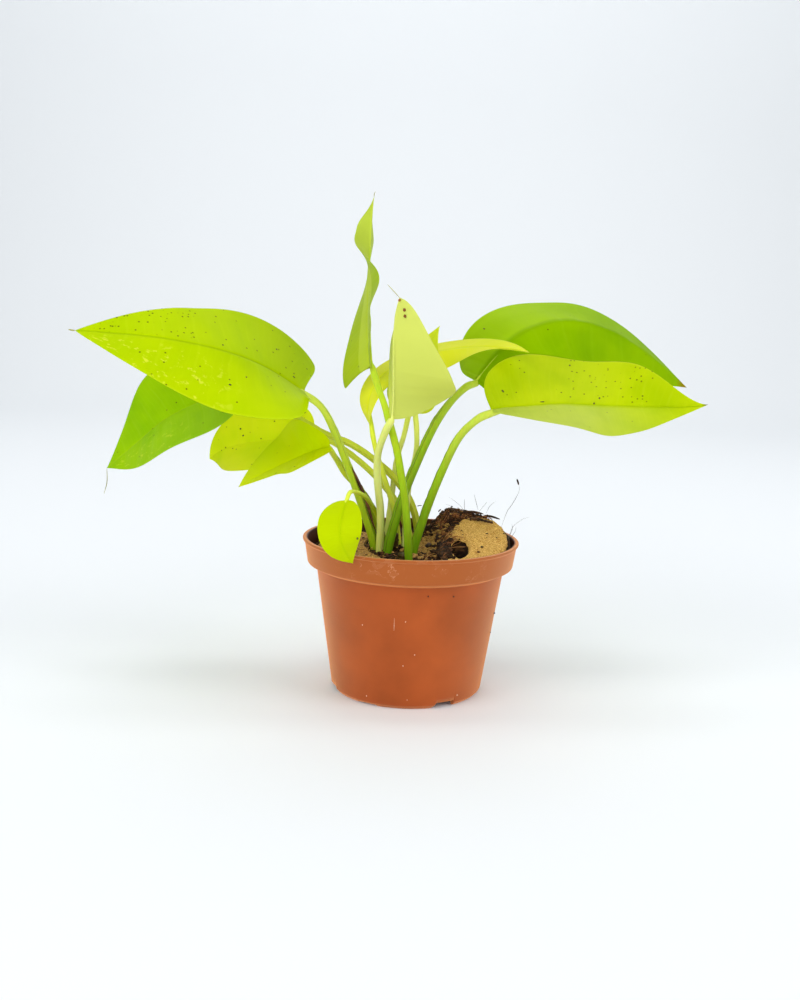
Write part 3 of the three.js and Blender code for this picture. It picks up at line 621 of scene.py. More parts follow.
        # a strip beside the midrib is paler, where the blade is rolled
        off_strip = add(tree, "MapRange", [off_midrib, pale_middle - 0.02, pale_middle + 0.02],
                        **SMOOTH)
        strip = add(tree, "Math", [1.0, off_strip], operation="SUBTRACT")
        coats.append((add(tree, "Math", [strip, 0.5], operation="MULTIPLY"), vein))
    if dry_tip:
        start, stop, dry_colour = dry_tip
        dry = add(tree, "MapRange", [along, start, stop], **SMOOTH)
        coats.append((add(tree, "Math", [dry, 0.85], operation="MULTIPLY"), dry_colour))
    for share, code in coats:
        shade = add(tree, "Mix", [share, shade, code], data_type="RGBA")
    rib_share = add(tree, "Math", [midrib, 0.5], operation="MULTIPLY")
    lower = add(tree, "Mix", [rib_share, under, vein], data_type="RGBA")
    colour = add(tree, "Mix", [top, lower, shade], data_type="RGBA")

    sunk = add(tree, "Math", [fine_vein, -0.5], operation="MULTIPLY")
    bumps = add(tree, "Math", [grain, 0.25, sunk], operation="MULTIPLY_ADD")
    bump = add(tree, "Bump", {"Height": bumps, "Strength": 0.35, "Distance": 0.00012})
    rough = add(tree, "MapRange", [patches, 0.0, 1.0, LEAF_ROUGHNESS - 0.06, LEAF_ROUGHNESS + 0.1])
    wax = add(tree, "BsdfPrincipled", {
        "Base Color": colour, "Roughness": rough, "IOR": 1.38, "Specular IOR Level": shine,
        "Specular Tint": "eef060", "Normal": bump})
    glow = add(tree, "BsdfTranslucent", {"Color": colour})
    mixed = add(tree, "MixShader", [through, wax, glow])
    add(tree, "OutputMaterial", {"Surface": mixed})
    return material

# %% [markdown]
# Now the twelve blades. Older leaves are greener, young ones paler and thinner. Eight carry a few
# dark freckles, and two of those the pale streaks of the plant's variegated parent. Four tips have
# dried, and on most leaves the relief departs a little from the usual.

# %% Make the blades
# zone: from where to where along the blade more freckles lie, on which half (the sign of across)
# and how many more. dry_tip: where along it starts and is full, and its colour. through: how much
# light the blade lets through. painted_light_half: the half painted paler as a painted highlight,
# by the same sign, in the colour pale. veins: the count that the side veins follow. slot: what the
# blade is called in the part's slots. The rest are colours and shares.
LEAF_COLOURS = {
    "leaf_left_large": dict(shine=0.1, upper="cce200", under="d8e64a", vein="e0f02c", deep="c2dc00",
                            freckles=0.075, streaks=0.7, slot="leaf_bright", furrow="a0bc00",
                            zone=(0.6, 0.95, -1, 0.75)),
    "leaf_left_hanging": dict(upper="aad400", under="c0dc48", vein="c8e444", deep="96c800",
                              freckles=0.04, streaks=0.4, slot="leaf_green", veins=11, furrow="b4d420"),
    # partly their own chartreuse, partly painted light: this leaf and the pointed one below sit in the
    # shade of the large left leaf, and their colours are lifted near pure yellow so that they look lit
    "leaf_left_middle": dict(upper="fcff30", under="eaf260", vein="f0f850", deep="e4f410",
                             freckles=0.14, slot="leaf_yellow", through=0.6, furrow="f4f830"),
    "leaf_left_pointed": dict(upper="e2ee00", under="e8f04c", vein="eaf020", deep="d8ea00",
                              freckles=0.03, slot="leaf_bright", through=0.55, furrow="e2ee00",
                              dry_tip=(0.985, 1.0, "6a5a14")),
    "leaf_rim_small": dict(upper="d0e204", under="dcec3c", vein="e4f024", deep="d0e400",
                           slot="leaf_bright", furrow="c8e000"),
    "leaf_tall_twisted": dict(upper="c2d414", under="ccdc50", vein="e0ec58", deep="b4cc04",
                              freckles=0.03, slot="leaf_bright", furrow="d0e030", pale_middle=0.38,
                              dry_tip=(0.96, 1.0, "7a8440")),
    "leaf_centre_pale": dict(upper="e4ea72", under="e8ee80", vein="eef090", deep="dee668",
                             freckles=0.04, slot="leaf_pale", through=0.5, furrow="e4e860"),
    "leaf_arching": dict(upper="fafa30", under="f6f868", vein="f8fa70", deep="f0f424",
                         slot="leaf_yellow", through=0.5, furrow="e8f040"),
    "leaf_right_rear": dict(shine=0.05, painted_light_half=1, pale="e0fa10", through=0.5,
                            upper="a6cc00", under="b4d438", vein="bcdc30", deep="94c000",
                            freckles=0.02, slot="leaf_green", furrow="9cc400",
                            dry_tip=(0.95, 0.985, "b08a1c")),
    "leaf_right_front": dict(upper="d2e20c", under="dce650", vein="e0ec40", deep="bed600",
                             freckles=0.05, slot="leaf_bright", veins=11, furrow="b4cc10",
                             zone=(0.42, 0.8, 1, 0.3), painted_light_half=-1,
                             dry_tip=(0.975, 1.0, "6a5a1c")),
    "leaf_centre_spike": dict(upper="e8f040", under="e8f068", vein="f0f460", deep="dce830",
                              slot="leaf_yellow", furrow="dce840"),
    "leaf_rear_young": dict(upper="e8f04c", under="e8f070", vein="f0f468", deep="dce83c",
                            slot="leaf_pale", furrow="dce850"),
}
# depth of the furrow, height of the pillows, side veins, height of the waves and the rib's share
# of the petiole's radius, where a leaf departs from the usual
OWN_RELIEF = {
    "leaf_right_front": dict(quilt=0.2, veins=11, wave=0.6),
    "leaf_left_hanging": dict(quilt=0.22, veins=11),
    "leaf_left_large": dict(quilt=0.14),
    "leaf_tall_twisted": dict(wave=0.2, rib=0.35),
    "leaf_centre_pale": dict(rib=0.25),
    "leaf_right_rear": dict(rib=0.25, quilt=0.22, veins=11),
    "leaf_left_middle": dict(furrow=0.15),
    "leaf_left_pointed": dict(furrow=0.15, quilt=0.17),
    "leaf_rim_small": dict(quilt=0.06, wave=0.15),
}
FIRST_LEAF_SEED = 10
triangles = 0
for number, (name, leaf) in enumerate(LEAVES.items()):
    leaf.update(OWN_RELIEF.get(name, {}))
    look = dict(LEAF_COLOURS[name])
    slot = look.pop("slot")
    material = leaf_material("waxy_" + name, **look)
    rings, values = blade(leaf, tables[name], FIRST_LEAF_SEED + number)
    points, quads, fans = skin(rings)
    mesh_piece("blade_" + name[5:], points, quads, fans, material, slot, [name], values)
    triangles += 2 * len(quads) + len(fans)
print("blades:", len(LEAVES), "with", triangles, "triangles")

# %% [markdown]
# A pothos petiole is not a plain rod. Its upper side is a channel with a thin winged sheath on both
# sides, which once wrapped the next leaf and dries brown at its rim. Just before the blade it
# thickens into a knee. The cross-section is given in polar form round the channel, and carried
# along the curve with frames that turn as little as they can, starting from the blade's own normal.

# %% Petioles
CURVE_STEPS = 40       # points worked out between two that are given
PETIOLE_STEPS, PETIOLE_SIDES = 130, 40
RIB_STATIONS = 24      # places under the blade that the rib's path runs through
RIB_END = 0.25         # the rib's radius where it ends
KNEE_BEFORE, KNEE_LENGTH = 5, 4.5     # mm before the blade's base, and its half length
CHANNEL_DEEP = 0.26    # the channel's depth as a share of the radius
CHANNEL_WIDE = 0.5     # angles round the section: the channel's half width
WING_AT, WING_WIDE = 0.72, 0.15       # and where each wing stands, and its half width
SHEATH_END, SHEATH_FADE = 0.93, 0.2   # the wings end before this share of the petiole


def curve_between(a, b, c, d):
    """Catmull-Rom curve from every b to its c, where a and d are the points before and after."""
    u = np.linspace(0, 1, CURVE_STEPS, endpoint=False)[None, :, None]
    path = 0.5 * (2 * b + (c - a) * u + (2 * a - 5 * b + 4 * c - d) * u ** 2
                  + (3 * b - a - 3 * c + d) * u ** 3)
    return path.reshape(-1, path.shape[-1])


def rope(points, steps):
    """Open curve through the points at even steps of its length, with the length up to each."""
    p = np.array(points, float)
    p = np.vstack([2 * p[0] - p[1], p, 2 * p[-1] - p[-2]])
    path = np.vstack([curve_between(*(p[i:len(p) - 3 + i, None, :] for i in range(4))), p[-2:-1]])
    reach = reach_of(path)
    even = np.linspace(0, reach[-1], steps)
    return np.stack([np.interp(even, reach, path[:, i]) for i in range(3)], 1), even


def carried_frames(path, start, first_normal):
    """Ways across the path: the first normal is carried both ways with the least turn."""
    way = unit(np.gradient(path, axis=0))
    normals = np.zeros_like(path)
    for order in (range(start, len(path)), range(start, -1, -1)):
        carried = np.array(first_normal, float)
        for i in order:
            carried = unit(carried - carried @ way[i] * way[i])
            normals[i] = carried
    return normals, np.cross(way, normals)


def tube(path, size, angle, normal, side):
    """Rings round a path: each point is its size away, at its angle from the normal to the side."""
    return (path[:, None] + (size * np.cos(angle))[..., None] * normal[:, None]
            + (size * np.sin(angle))[..., None] * side[:, None])


def petiole(leaf, table, sheath_height):
    """Rings round the petiole and on under the blade as the midrib, with values for its material."""
    route = [np.array(point, float) for point in leaf["petiole"]]
    foot = route[0] - [0, 0, PETIOLE_DEPTH]
    foot_radius, top_radius = leaf["radius"]
    # the rib hangs wholly under the blade; it gets there within 3 mm of the base
    share = np.linspace(0.02, RIB_REACH, RIB_STATIONS)
    thick_end = leaf.get("rib", 0.62) * top_radius
    rib_radius = RIB_END + (thick_end - RIB_END) * (1 - share / RIB_REACH)
    sink = (rib_radius * 0.95 + 0.28) * (0.7 + 0.3 * eased(share * table["length"] / 3))
    ribs = read(table, "place", share) - read(table, "normal", share) * sink[:, None]
    base = np.array(leaf["midrib"][0], float)
    knee_end = base - 0.6 * top_radius * table["normal"][0]
    path, reach = rope([foot, *route, knee_end, *ribs], PETIOLE_STEPS)
    at_base = int(np.argmin(np.linalg.norm(path - base, axis=1)))
    normal, side = carried_frames(path, at_base, table["normal"][0])
    free = np.clip(reach / reach[at_base], 0, 1)
    rib = np.clip((reach - reach[at_base]) / (reach[-1] - reach[at_base]), 0, 1)
    thin = RIB_END + (thick_end - RIB_END) * (1 - rib)
    radius = foot_radius + (top_radius - foot_radius) * free
    radius = np.where(rib > 0, top_radius + (thin - top_radius) * eased(rib * 16), radius)
    knee = np.exp(-((reach - reach[at_base] + KNEE_BEFORE) / KNEE_LENGTH) ** 2)
    radius = radius * (1 + 0.1 * knee)
    # points crowd where the channel and the wings are
    x = np.linspace(-math.pi, math.pi, PETIOLE_SIDES, endpoint=False)
    angle = x - 0.55 * np.sin(x)
    channel = np.exp(-(angle / CHANNEL_WIDE) ** 2)
    wing = np.exp(-((np.abs(angle) - WING_AT) / WING_WIDE) ** 2)
    grooved = (1 - eased(rib * 6)) * (1 - 0.7 * knee)
    winged = sheath_height * eased((SHEATH_END - free) / SHEATH_FADE) * (1 - rib)
    ragged = 1 + 0.35 * noise(reach, 0, 0, 2.5, seed=77)
    size = (radius[:, None] * (1 - CHANNEL_DEEP * grooved[:, None] * channel)
            + (winged * ragged)[:, None] * wing)
    values = {"along": np.broadcast_to(free[:, None], size.shape),
              "rim": wing * (winged / sheath_height)[:, None]}
    return tube(path, size, angle, normal, side), with_ends(values)


def petiole_material(name, foot, middle, top, rim, rim_share):
    """Smooth stalk: its colour runs from foot to top, and the sheath's rim is dry and brown."""
    material, tree = new_material(name)
    along, on_rim = [add(tree, "Attribute", attribute_name=key).outputs["Fac"]
                     for key in ("along", "rim")]
    place = add(tree, "TexCoord").outputs["Object"]
    shade = add(tree, "ValToRGB", [along], [(0.12, foot), (0.6, middle), (0.97, top)])
    # lengthwise fibres, 0.9 mm apart and finer, drawn out 12 times along the upright
    squeeze = add(tree, "Mapping", {"Vector": place, "Scale": (1, 1, 0.08)})
    streaks = add(tree, "TexNoise", {"Vector": squeeze, "Scale": 1100.0, "Detail": 2.0})
    lighter = add(tree, "Mix", [0.25, shade, streaks.outputs["Color"]], data_type="RGBA",
                  blend_type="OVERLAY")
    dry = add(tree, "MapRange", [on_rim, 0.55, 0.9, 0.0, rim_share], **SMOOTH)
    colour = add(tree, "Mix", [dry, lighter, rim], data_type="RGBA")
    bump = add(tree, "Bump", {"Height": streaks, "Strength": 0.25, "Distance": 0.0001})
    shader = add(tree, "BsdfPrincipled", {
        "Base Color": colour, "Roughness": 0.4, "Specular IOR Level": 0.3, "Specular Tint": "f2f080",
        "Subsurface Weight": 0.15, "Subsurface Radius": (0.7, 1.0, 0.2), "Subsurface Scale": 0.001,
        "Normal": bump})
    add(tree, "OutputMaterial", {"Surface": shader})
    return material


PETIOLES = {
    "leaf_left_large": ("8cac10", "bcd430", "dcea58", "7a5a34", 0.5, 0.5),
    "leaf_left_hanging": ("c0c83c", "d4dc44", "dce450", "9a8450", 0.4, 0.3),
    "leaf_left_middle": ("ccd44c", "d6de4c", "e0e850", "9a8450", 0.4, 0.3),
    "leaf_left_pointed": ("a0b024", "bccc30", "d6e048", "5a3c26", 0.8, 0.9),
    "leaf_rim_small": ("98ac10", "b8c824", "d8e448", "8a6a3a", 0.25, 0.4),
    "leaf_tall_twisted": ("6c940c", "9cb818", "b8d030", "3a3a14", 0.55, 0.6),
    "leaf_centre_pale": ("d0d46c", "dce480", "dce478", "a09060", 0.6, 0.3),
    "leaf_arching": ("d0dc4c", "dce448", "e6f044", "a09060", 0.4, 0.3),
    "leaf_right_rear": ("64900c", "92b41c", "c8dc48", "3a3412", 0.6, 0.6),
    "leaf_right_front": ("64900c", "94b41c", "ccdc50", "3a3412", 0.6, 0.6),
    "leaf_centre_spike": ("d4dc78", "e0e680", "e8f068", "a09060", 0.4, 0.3),
    "leaf_rear_young": ("d4dc78", "e0e680", "e8f068", "a09060", 0.4, 0.3),
}
for name, (foot, middle, top, rim, height, share) in PETIOLES.items():
    material = petiole_material("green_petiole_" + name[5:], foot, middle, top, rim, share)
    rings, values = petiole(LEAVES[name], tables[name], height)
    mesh_piece("petiole_" + name[5:], *skin(rings), material, "stem", (), values)
print("petioles:", len(PETIOLES))

# %% [markdown]
# The nursery pot is one injection-moulded shell of polypropylene: a profile turned round the axis.
# Real moulded corners are never sharp, so each corner of the profile is cut by a small curve. The
# drain notches in the foot are made by lifting the foot's points, and the holes above them are cut
# with a Boolean modifier, because a hole changes how faces connect and a formula can't.

# %% Pot shape
POT_HEIGHT = 75
RIM_RADIUS, BAND_RADIUS, BAND_FOOT_RADIUS, SHOULDER_RADIUS, FOOT_RADIUS = 52.5, 51.6, 50, 45.6, 37
LIP, BAND_FOOT, SHOULDER = 1.6, 63, 61
WALL, FLOOR_UNDER, FLOOR_TOP, FOOT_RING, PAD = 1.3, 2.8, 4.2, 2.4, 9
NOTCH_ANGLES, RELIEF_ANGLES = (29, 149, 285), (89, 209, 329)     # degrees from the front
ROUND_OVER, CORNER_POINTS = 0.55, 5     # how much of each corner is cut, in how many points
BEARINGS = 288         # even steps round the pot
# the foot ring's three drain notches, and the three shallow reliefs between them
NOTCH = dict(width=12, height=3, slant=2.2)
RELIEF = dict(width=10, height=0.6, slant=0.6)
SLANT_TURN = 3.4       # degrees that a notch's slant takes


def wall_inside(z):
    """Inside radius: straight lines from the floor to the shoulder, the band's foot and the rim."""
    return np.interp(z, [FLOOR_TOP, SHOULDER, BAND_FOOT, POT_HEIGHT],
                     [FOOT_RADIUS - WALL, SHOULDER_RADIUS - WALL, BAND_FOOT_RADIUS - WALL,
                      BAND_RADIUS - WALL])


def rounded(profile):
    """Each corner becomes a short quadratic curve that starts and ends one cut away from it."""
    p = np.array(profile, float)
    out = [p[0]]
    for before, corner, after in zip(p[:-2], p[1:-1], p[2:]):
        back, on = before - corner, after - corner
        a = corner + unit(back) * min(ROUND_OVER, 0.45 * np.linalg.norm(back))
        b = corner + unit(on) * min(ROUND_OVER, 0.45 * np.linalg.norm(on))
        for u in np.linspace(0, 1, CORNER_POINTS):
            out.append((1 - u) ** 2 * a + 2 * u * (1 - u) * corner + u * u * b)
    return np.array([*out, p[-1]])


def spaced(profile, step):
    """The same line with extra points, none more than a step apart."""
    out = [profile[:1]]
    for a, b in zip(profile[:-1], profile[1:]):
        count = max(1, math.ceil(np.linalg.norm(b - a) / step))
        out.append(a + (b - a) * np.linspace(0, 1, count + 1)[1:, None])
    return np.concatenate(out)


def lifted(bearing, at, width, height, slant):
    """Height of a foot cut at a bearing: it climbs over the slant and drops at its straight end."""
    off = (bearing - at + 180) % 360 - 180
    along = np.radians(off) * FOOT_RADIUS
    climb = np.clip((along + width / 2) / slant, 0, 1)
    return height * climb * (along < width / 2)


pot_profile = [
    (0.4, 0), (PAD, 0), (PAD + 0.8, FLOOR_UNDER), (FOOT_RADIUS - FOOT_RING - 0.4, FLOOR_UNDER),
    (FOOT_RADIUS - FOOT_RING, 0), (FOOT_RADIUS - 1.8, 0), (FOOT_RADIUS, 1.8),
    (SHOULDER_RADIUS, SHOULDER), (BAND_FOOT_RADIUS, BAND_FOOT), (BAND_RADIUS, POT_HEIGHT - LIP),
    (RIM_RADIUS, POT_HEIGHT - LIP + 0.4), (RIM_RADIUS, POT_HEIGHT),
    (wall_inside(POT_HEIGHT), POT_HEIGHT), (wall_inside(BAND_FOOT), BAND_FOOT),
    (wall_inside(SHOULDER), SHOULDER), (wall_inside(FLOOR_TOP) + 0.3, FLOOR_TOP + 1),
    (wall_inside(FLOOR_TOP) - 1, FLOOR_TOP), (0.4, FLOOR_TOP),
]
pot_line = spaced(rounded(pot_profile), 3.0)
notch_edge = math.degrees(NOTCH["width"] / 2 / FOOT_RADIUS)
extra = [a + notch_edge + off for a in NOTCH_ANGLES for off in (-0.03, 0.03)]
extra += [a - notch_edge + off for a in NOTCH_ANGLES for off in (0, SLANT_TURN)]
bearings = np.linspace(0, 360, BEARINGS, endpoint=False)
bearings = np.unique(np.concatenate([bearings, np.array(extra) % 360]))
angles = np.radians(bearings - 90)
cuts = [(at, NOTCH) for at in NOTCH_ANGLES] + [(at, RELIEF) for at in RELIEF_ANGLES]
lift = np.max([lifted(bearings, at, **cut) for at, cut in cuts], axis=0)
radius = np.broadcast_to(pot_line[:, :1], (len(pot_line), len(bearings)))
height = np.broadcast_to(pot_line[:, 1:], radius.shape)
in_ring = (radius > FOOT_RADIUS - FOOT_RING - 1) & (height < FLOOR_TOP - 0.5)
height = np.where(in_ring, np.maximum(height, lift), height)
# a moulded wall is never quite round: it gives by a tenth of a millimetre or two
oval = 1 + 0.0022 * np.sin(2 * angles + 0.6) * (height / POT_HEIGHT)
pot_rings = np.stack([radius * oval * np.cos(angles), radius * oval * np.sin(angles), height], -1)
print("pot:", pot_rings.shape[0], "profile points by", pot_rings.shape[1], "round")

# %% [markdown]
# Polypropylene for nursery pots is dyed terracotta brown. It is satin, not glossy: the mould was
# lightly blasted. Handling leaves paler scuffs where pots rub together, on the rim band, and dried
# water and soil leave specks. The scuffs are contour lines of a noise, kept to the band's front.

# %% Pot material and piece
SCUFF_SHARE = 0.36     # how far a scuff pales the plastic
plastic, tree = new_material("satin_polypropylene_terracotta")
place = add(tree, "TexCoord").outputs["Object"]
split = add(tree, "SeparateXYZ", [place])
# slow clouds about 30 mm wide in the dye
cloud = add(tree, "TexNoise", {"Vector": place, "Scale": 35.0, "Detail": 4.0})
shade = add(tree, "ValToRGB", [cloud], [(0.3, "8a3a12"), (0.72, "aa4c1c")])
band = add(tree, "MapRange", [split.outputs["Z"], 0.0622, 0.0634], **SMOOTH)
front = add(tree, "MapRange", [split.outputs["Y"], -0.034, -0.046], **SMOOTH)
banded = add(tree, "Mix", [band, shade, "9c4f20"], data_type="RGBA")
# scuffs: contour lines of a noise with 6 mm cells, and a haze where it is high, in patches
rub = add(tree, "TexNoise", {"Vector": place, "Scale": 170.0, "Detail": 2.0, "Distortion": 1.2})
off_line = add(tree, "Math", [rub, 0.56], operation="SUBTRACT")
off_line = add(tree, "Math", [off_line], operation="ABSOLUTE")
line = add(tree, "MapRange", [off_line, 0.014, 0.003], **SMOOTH)
haze = add(tree, "MapRange", [rub, 0.52, 0.7, 0.0, 0.25], **SMOOTH)
scuff = add(tree, "Math", [line, haze], operation="MAXIMUM")
on_band = add(tree, "Math", [band, front], operation="MULTIPLY")
patch = add(tree, "TexNoise", {"Vector": place, "Scale": 70.0, "Detail": 1.0})
in_patch = add(tree, "MapRange", [patch, 0.48, 0.6], **SMOOTH)
for share in (on_band, in_patch, SCUFF_SHARE):
    scuff = add(tree, "Math", [scuff, share], operation="MULTIPLY")
outside = add(tree, "Mix", [scuff, banded, "e2a880"], data_type="RGBA")
# inside: nearer the axis than the middle of the band's wall, which leans out 0.13 for each 1 up
level_place = add(tree, "VectorMath", [place, (1, 1, 0)], operation="MULTIPLY")
from_axis = add(tree, "VectorMath", [level_place], operation="LENGTH")
lean = add(tree, "Math", [split.outputs["Z"], -0.133, from_axis], operation="MULTIPLY_ADD")
inside = add(tree, "MapRange", [lean, 0.0413, 0.0405])
painted_shade_inside = add(tree, "Math", [inside, band], operation="MULTIPLY")
# painted shade: the band's inner wall is painted dark brown for the shade inside the rim
colour = add(tree, "Mix", [painted_shade_inside, outside, "401808"], data_type="RGBA")
# the dusty bloom of worn plastic lies on the outside only
bloom = add(tree, "Math", [1.0, painted_shade_inside], operation="SUBTRACT")
# the blasted mould's grain is about 0.2 mm, drawn at 0.5 mm so that it shows
blast = add(tree, "TexNoise", {"Vector": place, "Scale": 2000.0, "Detail": 2.0})
flow = add(tree, "Mapping", {"Vector": place, "Scale": (1, 1, 3)})
flowed = add(tree, "TexNoise", {"Vector": flow, "Scale": 60.0, "Detail": 3.0})
uneven = add(tree, "Math", [blast, 0.3, flowed], operation="MULTIPLY_ADD")
bump = add(tree, "Bump", {"Height": uneven, "Strength": 0.25, "Distance": 0.0003})
rough = add(tree, "MapRange", [cloud, 0.0, 1.0, 0.36, 0.52])
shader = add(tree, "BsdfPrincipled", {
    "Base Color": colour, "Roughness": rough, "IOR": 1.49, "Specular IOR Level": 0.5,
    "Specular Tint": "ffc09a", "Sheen Weight": bloom, "Sheen Roughness": 0.5,
    "Sheen Tint": "ffb070", "Normal": bump})
add(tree, "OutputMaterial", {"Surface": shader})


def spun(shape, turn):
    """Points turned about the upright: x cos - y sin, x sin + y cos, and the same height."""
    x, y = shape[..., 0], shape[..., 1]
    return np.stack([x * np.cos(turn) - y * np.sin(turn), x * np.sin(turn) + y * np.cos(turn),
                     shape[..., 2]], -1)


# the block that cuts a drain hole, and its middle before it is turned to its notch
DRAIN_SIZE, DRAIN_PLACE = (7.2, 6, 12.6), (0, -29.2, 4.2)
pot = mesh_piece("nursery_pot", *skin(pot_rings), plastic, "pot_plastic", ["pot"])
block = (np.array(list(np.ndindex(2, 2, 2)), float) - 0.5) * DRAIN_SIZE + DRAIN_PLACE
block_faces = [(0, 1, 3, 2), (4, 6, 7, 5), (0, 4, 5, 1), (2, 3, 7, 6), (0, 2, 6, 4), (1, 5, 7, 3)]
cut_points = np.concatenate([spun(block, math.radians(at)) for at in NOTCH_ANGLES])
cut_faces = [[8 * index + k for k in face] for index in range(len(NOTCH_ANGLES))
             for face in block_faces]
cutter_mesh = bpy.data.meshes.new("drain_cutter")
cutter_mesh.from_pydata((cut_points * MM).tolist(), [], cut_faces)
cutter = bpy.data.objects.new("drain_cutter", cutter_mesh)
bpy.context.scene.collection.objects.link(cutter)
drain = pot.modifiers.new("drain holes", "BOOLEAN")
drain.operation = "DIFFERENCE"
drain.object = cutter
bpy.context.view_layer.update()
cut_mesh = bpy.data.meshes.new_from_object(pot.evaluated_get(bpy.context.evaluated_depsgraph_get()))
pot.modifiers.remove(drain)
pot.data = cut_mesh
bpy.data.objects.remove(cutter)
print("pot faces after the drain holes:", len(pot.data.polygons))

# %% [markdown]
# The filling is peat and coir: dark, crumbly, with tan fibres. Its top follows the same heights as
# the solid's: level, heaped up under the right mat, and with a clump of coir at the back. Several
# sizes of noise are laid over that, with the coarse one folded so that it makes crumbs with creases
# between them and not smooth hills. Under the right mat's hole the mix falls away into a dark pit.

# %% Potting mix shape
MIX_LEVEL = 67.5       # height of the mix at the pot's axis
MIX_GAP = 0.3          # between the mix and the pot's wall
PIT_DEPTH, PIT_LONG = 8, 10     # how far the mix falls away under the right mat's hole
MIX_RINGS, MIX_POINTS = 150, 300
RIGHT_HOLE = (23.5, -11.5, 4.2, 11.5)     # its middle and half sizes


def slope_at(x, y):
    """Top of the sloped right mat."""
    return 70.5 + 0.2 * (y + 24) + 0.04 * (x - 19)


def mix_top(x, y):
    """Height of the mix: level, plus the heap eased in from x 6 to 22, plus a round clump."""
    level = MIX_LEVEL + 0.05 * y
    heap = eased((x - 6) / 16) * (slope_at(x, y) - 2.1 - level)
    clump = 3 * np.exp(-((x - 15) ** 2 + (y - 33) ** 2) / 81)
    return level + heap + clump


def crumbs(x, y, seed):
    """Folded noise in mm: the absolute value of a noise has round tops and sharp creases."""
    coarse = 1 - np.abs(noise(x, y, 0, 4.2, seed)) * 2
    middle = 1 - np.abs(noise(x, y, 0, 1.9, seed + 1)) * 2
    return 0.75 * coarse + 0.4 * middle + 0.2 * noise(x, y, 0, 0.8, seed + 2)


def under_mat(x, y):
    """Near 1 where a mat covers the mix, so that the mix stays low there."""
    right_side = eased((x - 11) / 5) * eased((30 - y) / 8)
    left_side = eased((-12 - x) / 5)
    return np.maximum(right_side, left_side)


def round_angles(count):
    """Even angles once round."""
    return np.linspace(0, 2 * math.pi, count, endpoint=False)


# the sides from the floor up: height, and how far in from the wall's gap
MIX_SIDE = [(4.5, 1), (5.2, 0), (20, 0), (40, 0), (61, 0), (63.3, 0), (64.4, 0)]
side_z, side_in = np.array(MIX_SIDE, float).T
side_r = wall_inside(side_z) - MIX_GAP - side_in
share = np.linspace(1, 0.004, MIX_RINGS)[:, None] ** 0.9
turn = round_angles(MIX_POINTS)
x = side_r[-1] * share * np.cos(turn)
y = side_r[-1] * share * np.sin(turn)
hole_x, hole_y, hole_wide = RIGHT_HOLE[:3]
pit_share = np.exp(-((x - hole_x) / hole_wide) ** 4 - ((y - hole_y) / PIT_LONG) ** 4)
covered = under_mat(x, y)
rough_top = crumbs(x, y, seed=3) * (1 - covered) - 0.25 * covered - PIT_DEPTH * pit_share
top_rings = np.stack([x, y, mix_top(x, y) + rough_top * eased((1 - share) * 12 + 0.3)], -1)
side_rings = np.stack(np.broadcast_arrays(side_r[:, None] * np.cos(turn), side_r[:, None] * np.sin(turn),
                                          side_z[:, None]), -1)
mix_rings = np.concatenate([side_rings, top_rings])
painted_pit_shade = np.concatenate([np.zeros(side_rings[..., 0].size), np.ravel(pit_share), [0, 0]])
print("mix top from", round(float(top_rings[..., 2].min()), 1), "to",
      round(float(top_rings[..., 2].max()), 1), "mm")

# %% Potting mix material and piece
peat, tree = new_material("moist_peat_and_coir")
place = add(tree, "TexCoord").outputs["Object"]
# crumbs about 4 mm wide and finer, from wet black peat to dry tan fibre
crumbly = add(tree, "TexNoise", {"Vector": place, "Scale": 260.0, "Detail": 5.0, "Roughness": 0.65})
shade = add(tree, "ValToRGB", [crumbly], [(0.36, "1c1008"), (0.55, "3a2414"), (0.74, "8a5c34")])
# painted shade: the mix is painted almost black down in the mat's hole, where shade falls
in_hole = add(tree, "Attribute", attribute_name="painted_pit_shade").outputs["Fac"]
darker = add(tree, "Mix", [in_hole, shade, "080402"], data_type="RGBA")
bump = add(tree, "Bump", {"Height": crumbly, "Strength": 0.8, "Distance": 0.001})
shader = add(tree, "BsdfPrincipled", {"Base Color": darker, "Roughness": 0.92,
                                      "Specular IOR Level": 0.25, "Normal": bump})
add(tree, "OutputMaterial", {"Surface": shader})
mesh_piece("moist_potting_mix", *skin(mix_rings), peat, "potting_mix", ["potting_mix"], {"painted_pit_shade": painted_pit_shade})

# %% [markdown]
# Two pieces of pressed-fibre mulch mat lie on the mix. Each was torn from a disc, so the edge is
# ragged and the surface is gritty. Rings run from the hole, or from the middle, out to the edge
# below and back above. Where there is a hole, the last ring joins the first, like a flat doughnut.

# %% Mats
RIGHT_MAT = [(16, -34), (30, -36), (41, -25), (46.5, -8), (47, 8), (43, 21), (36, 28), (27, 24),
             (21, 12), (17, 0), (15, -12), (14, -24)]
LEFT_MAT = [(-25, 33), (-34, 30), (-43, 18), (-46, 0), (-44, -16), (-34, -32), (-20, -42),
            (-12, -36), (-13, -22), (-18.5, -10), (-20, -4), (-22.5, 4), (-22, 12), (-21, 26)]
MAT_RINGS, MAT_POINTS = 44, 330
MAT_THICK, MAT_EDGE, MAT_MOST = 1.6, 0.12, 2.4     # full, at the edge, and the most with its grit


def closed_curve(outline):
    """Curve round through all the points, at even steps of its length, anticlockwise."""
    p = np.array(outline, float)
    if np.sum(p[:, 0] * np.roll(p[:, 1], -1) - np.roll(p[:, 0], -1) * p[:, 1]) < 0:
        p = p[::-1]
    path = curve_between(*(np.roll(p, 1 - i, axis=0)[:, None, :] for i in range(4)))
    path = np.vstack([path, p[:1]])
    reach = reach_of(path)
    even = np.linspace(0, reach[-1], MAT_POINTS, endpoint=False)
    return np.stack([np.interp(even, reach, path[:, i]) for i in range(2)], 1)


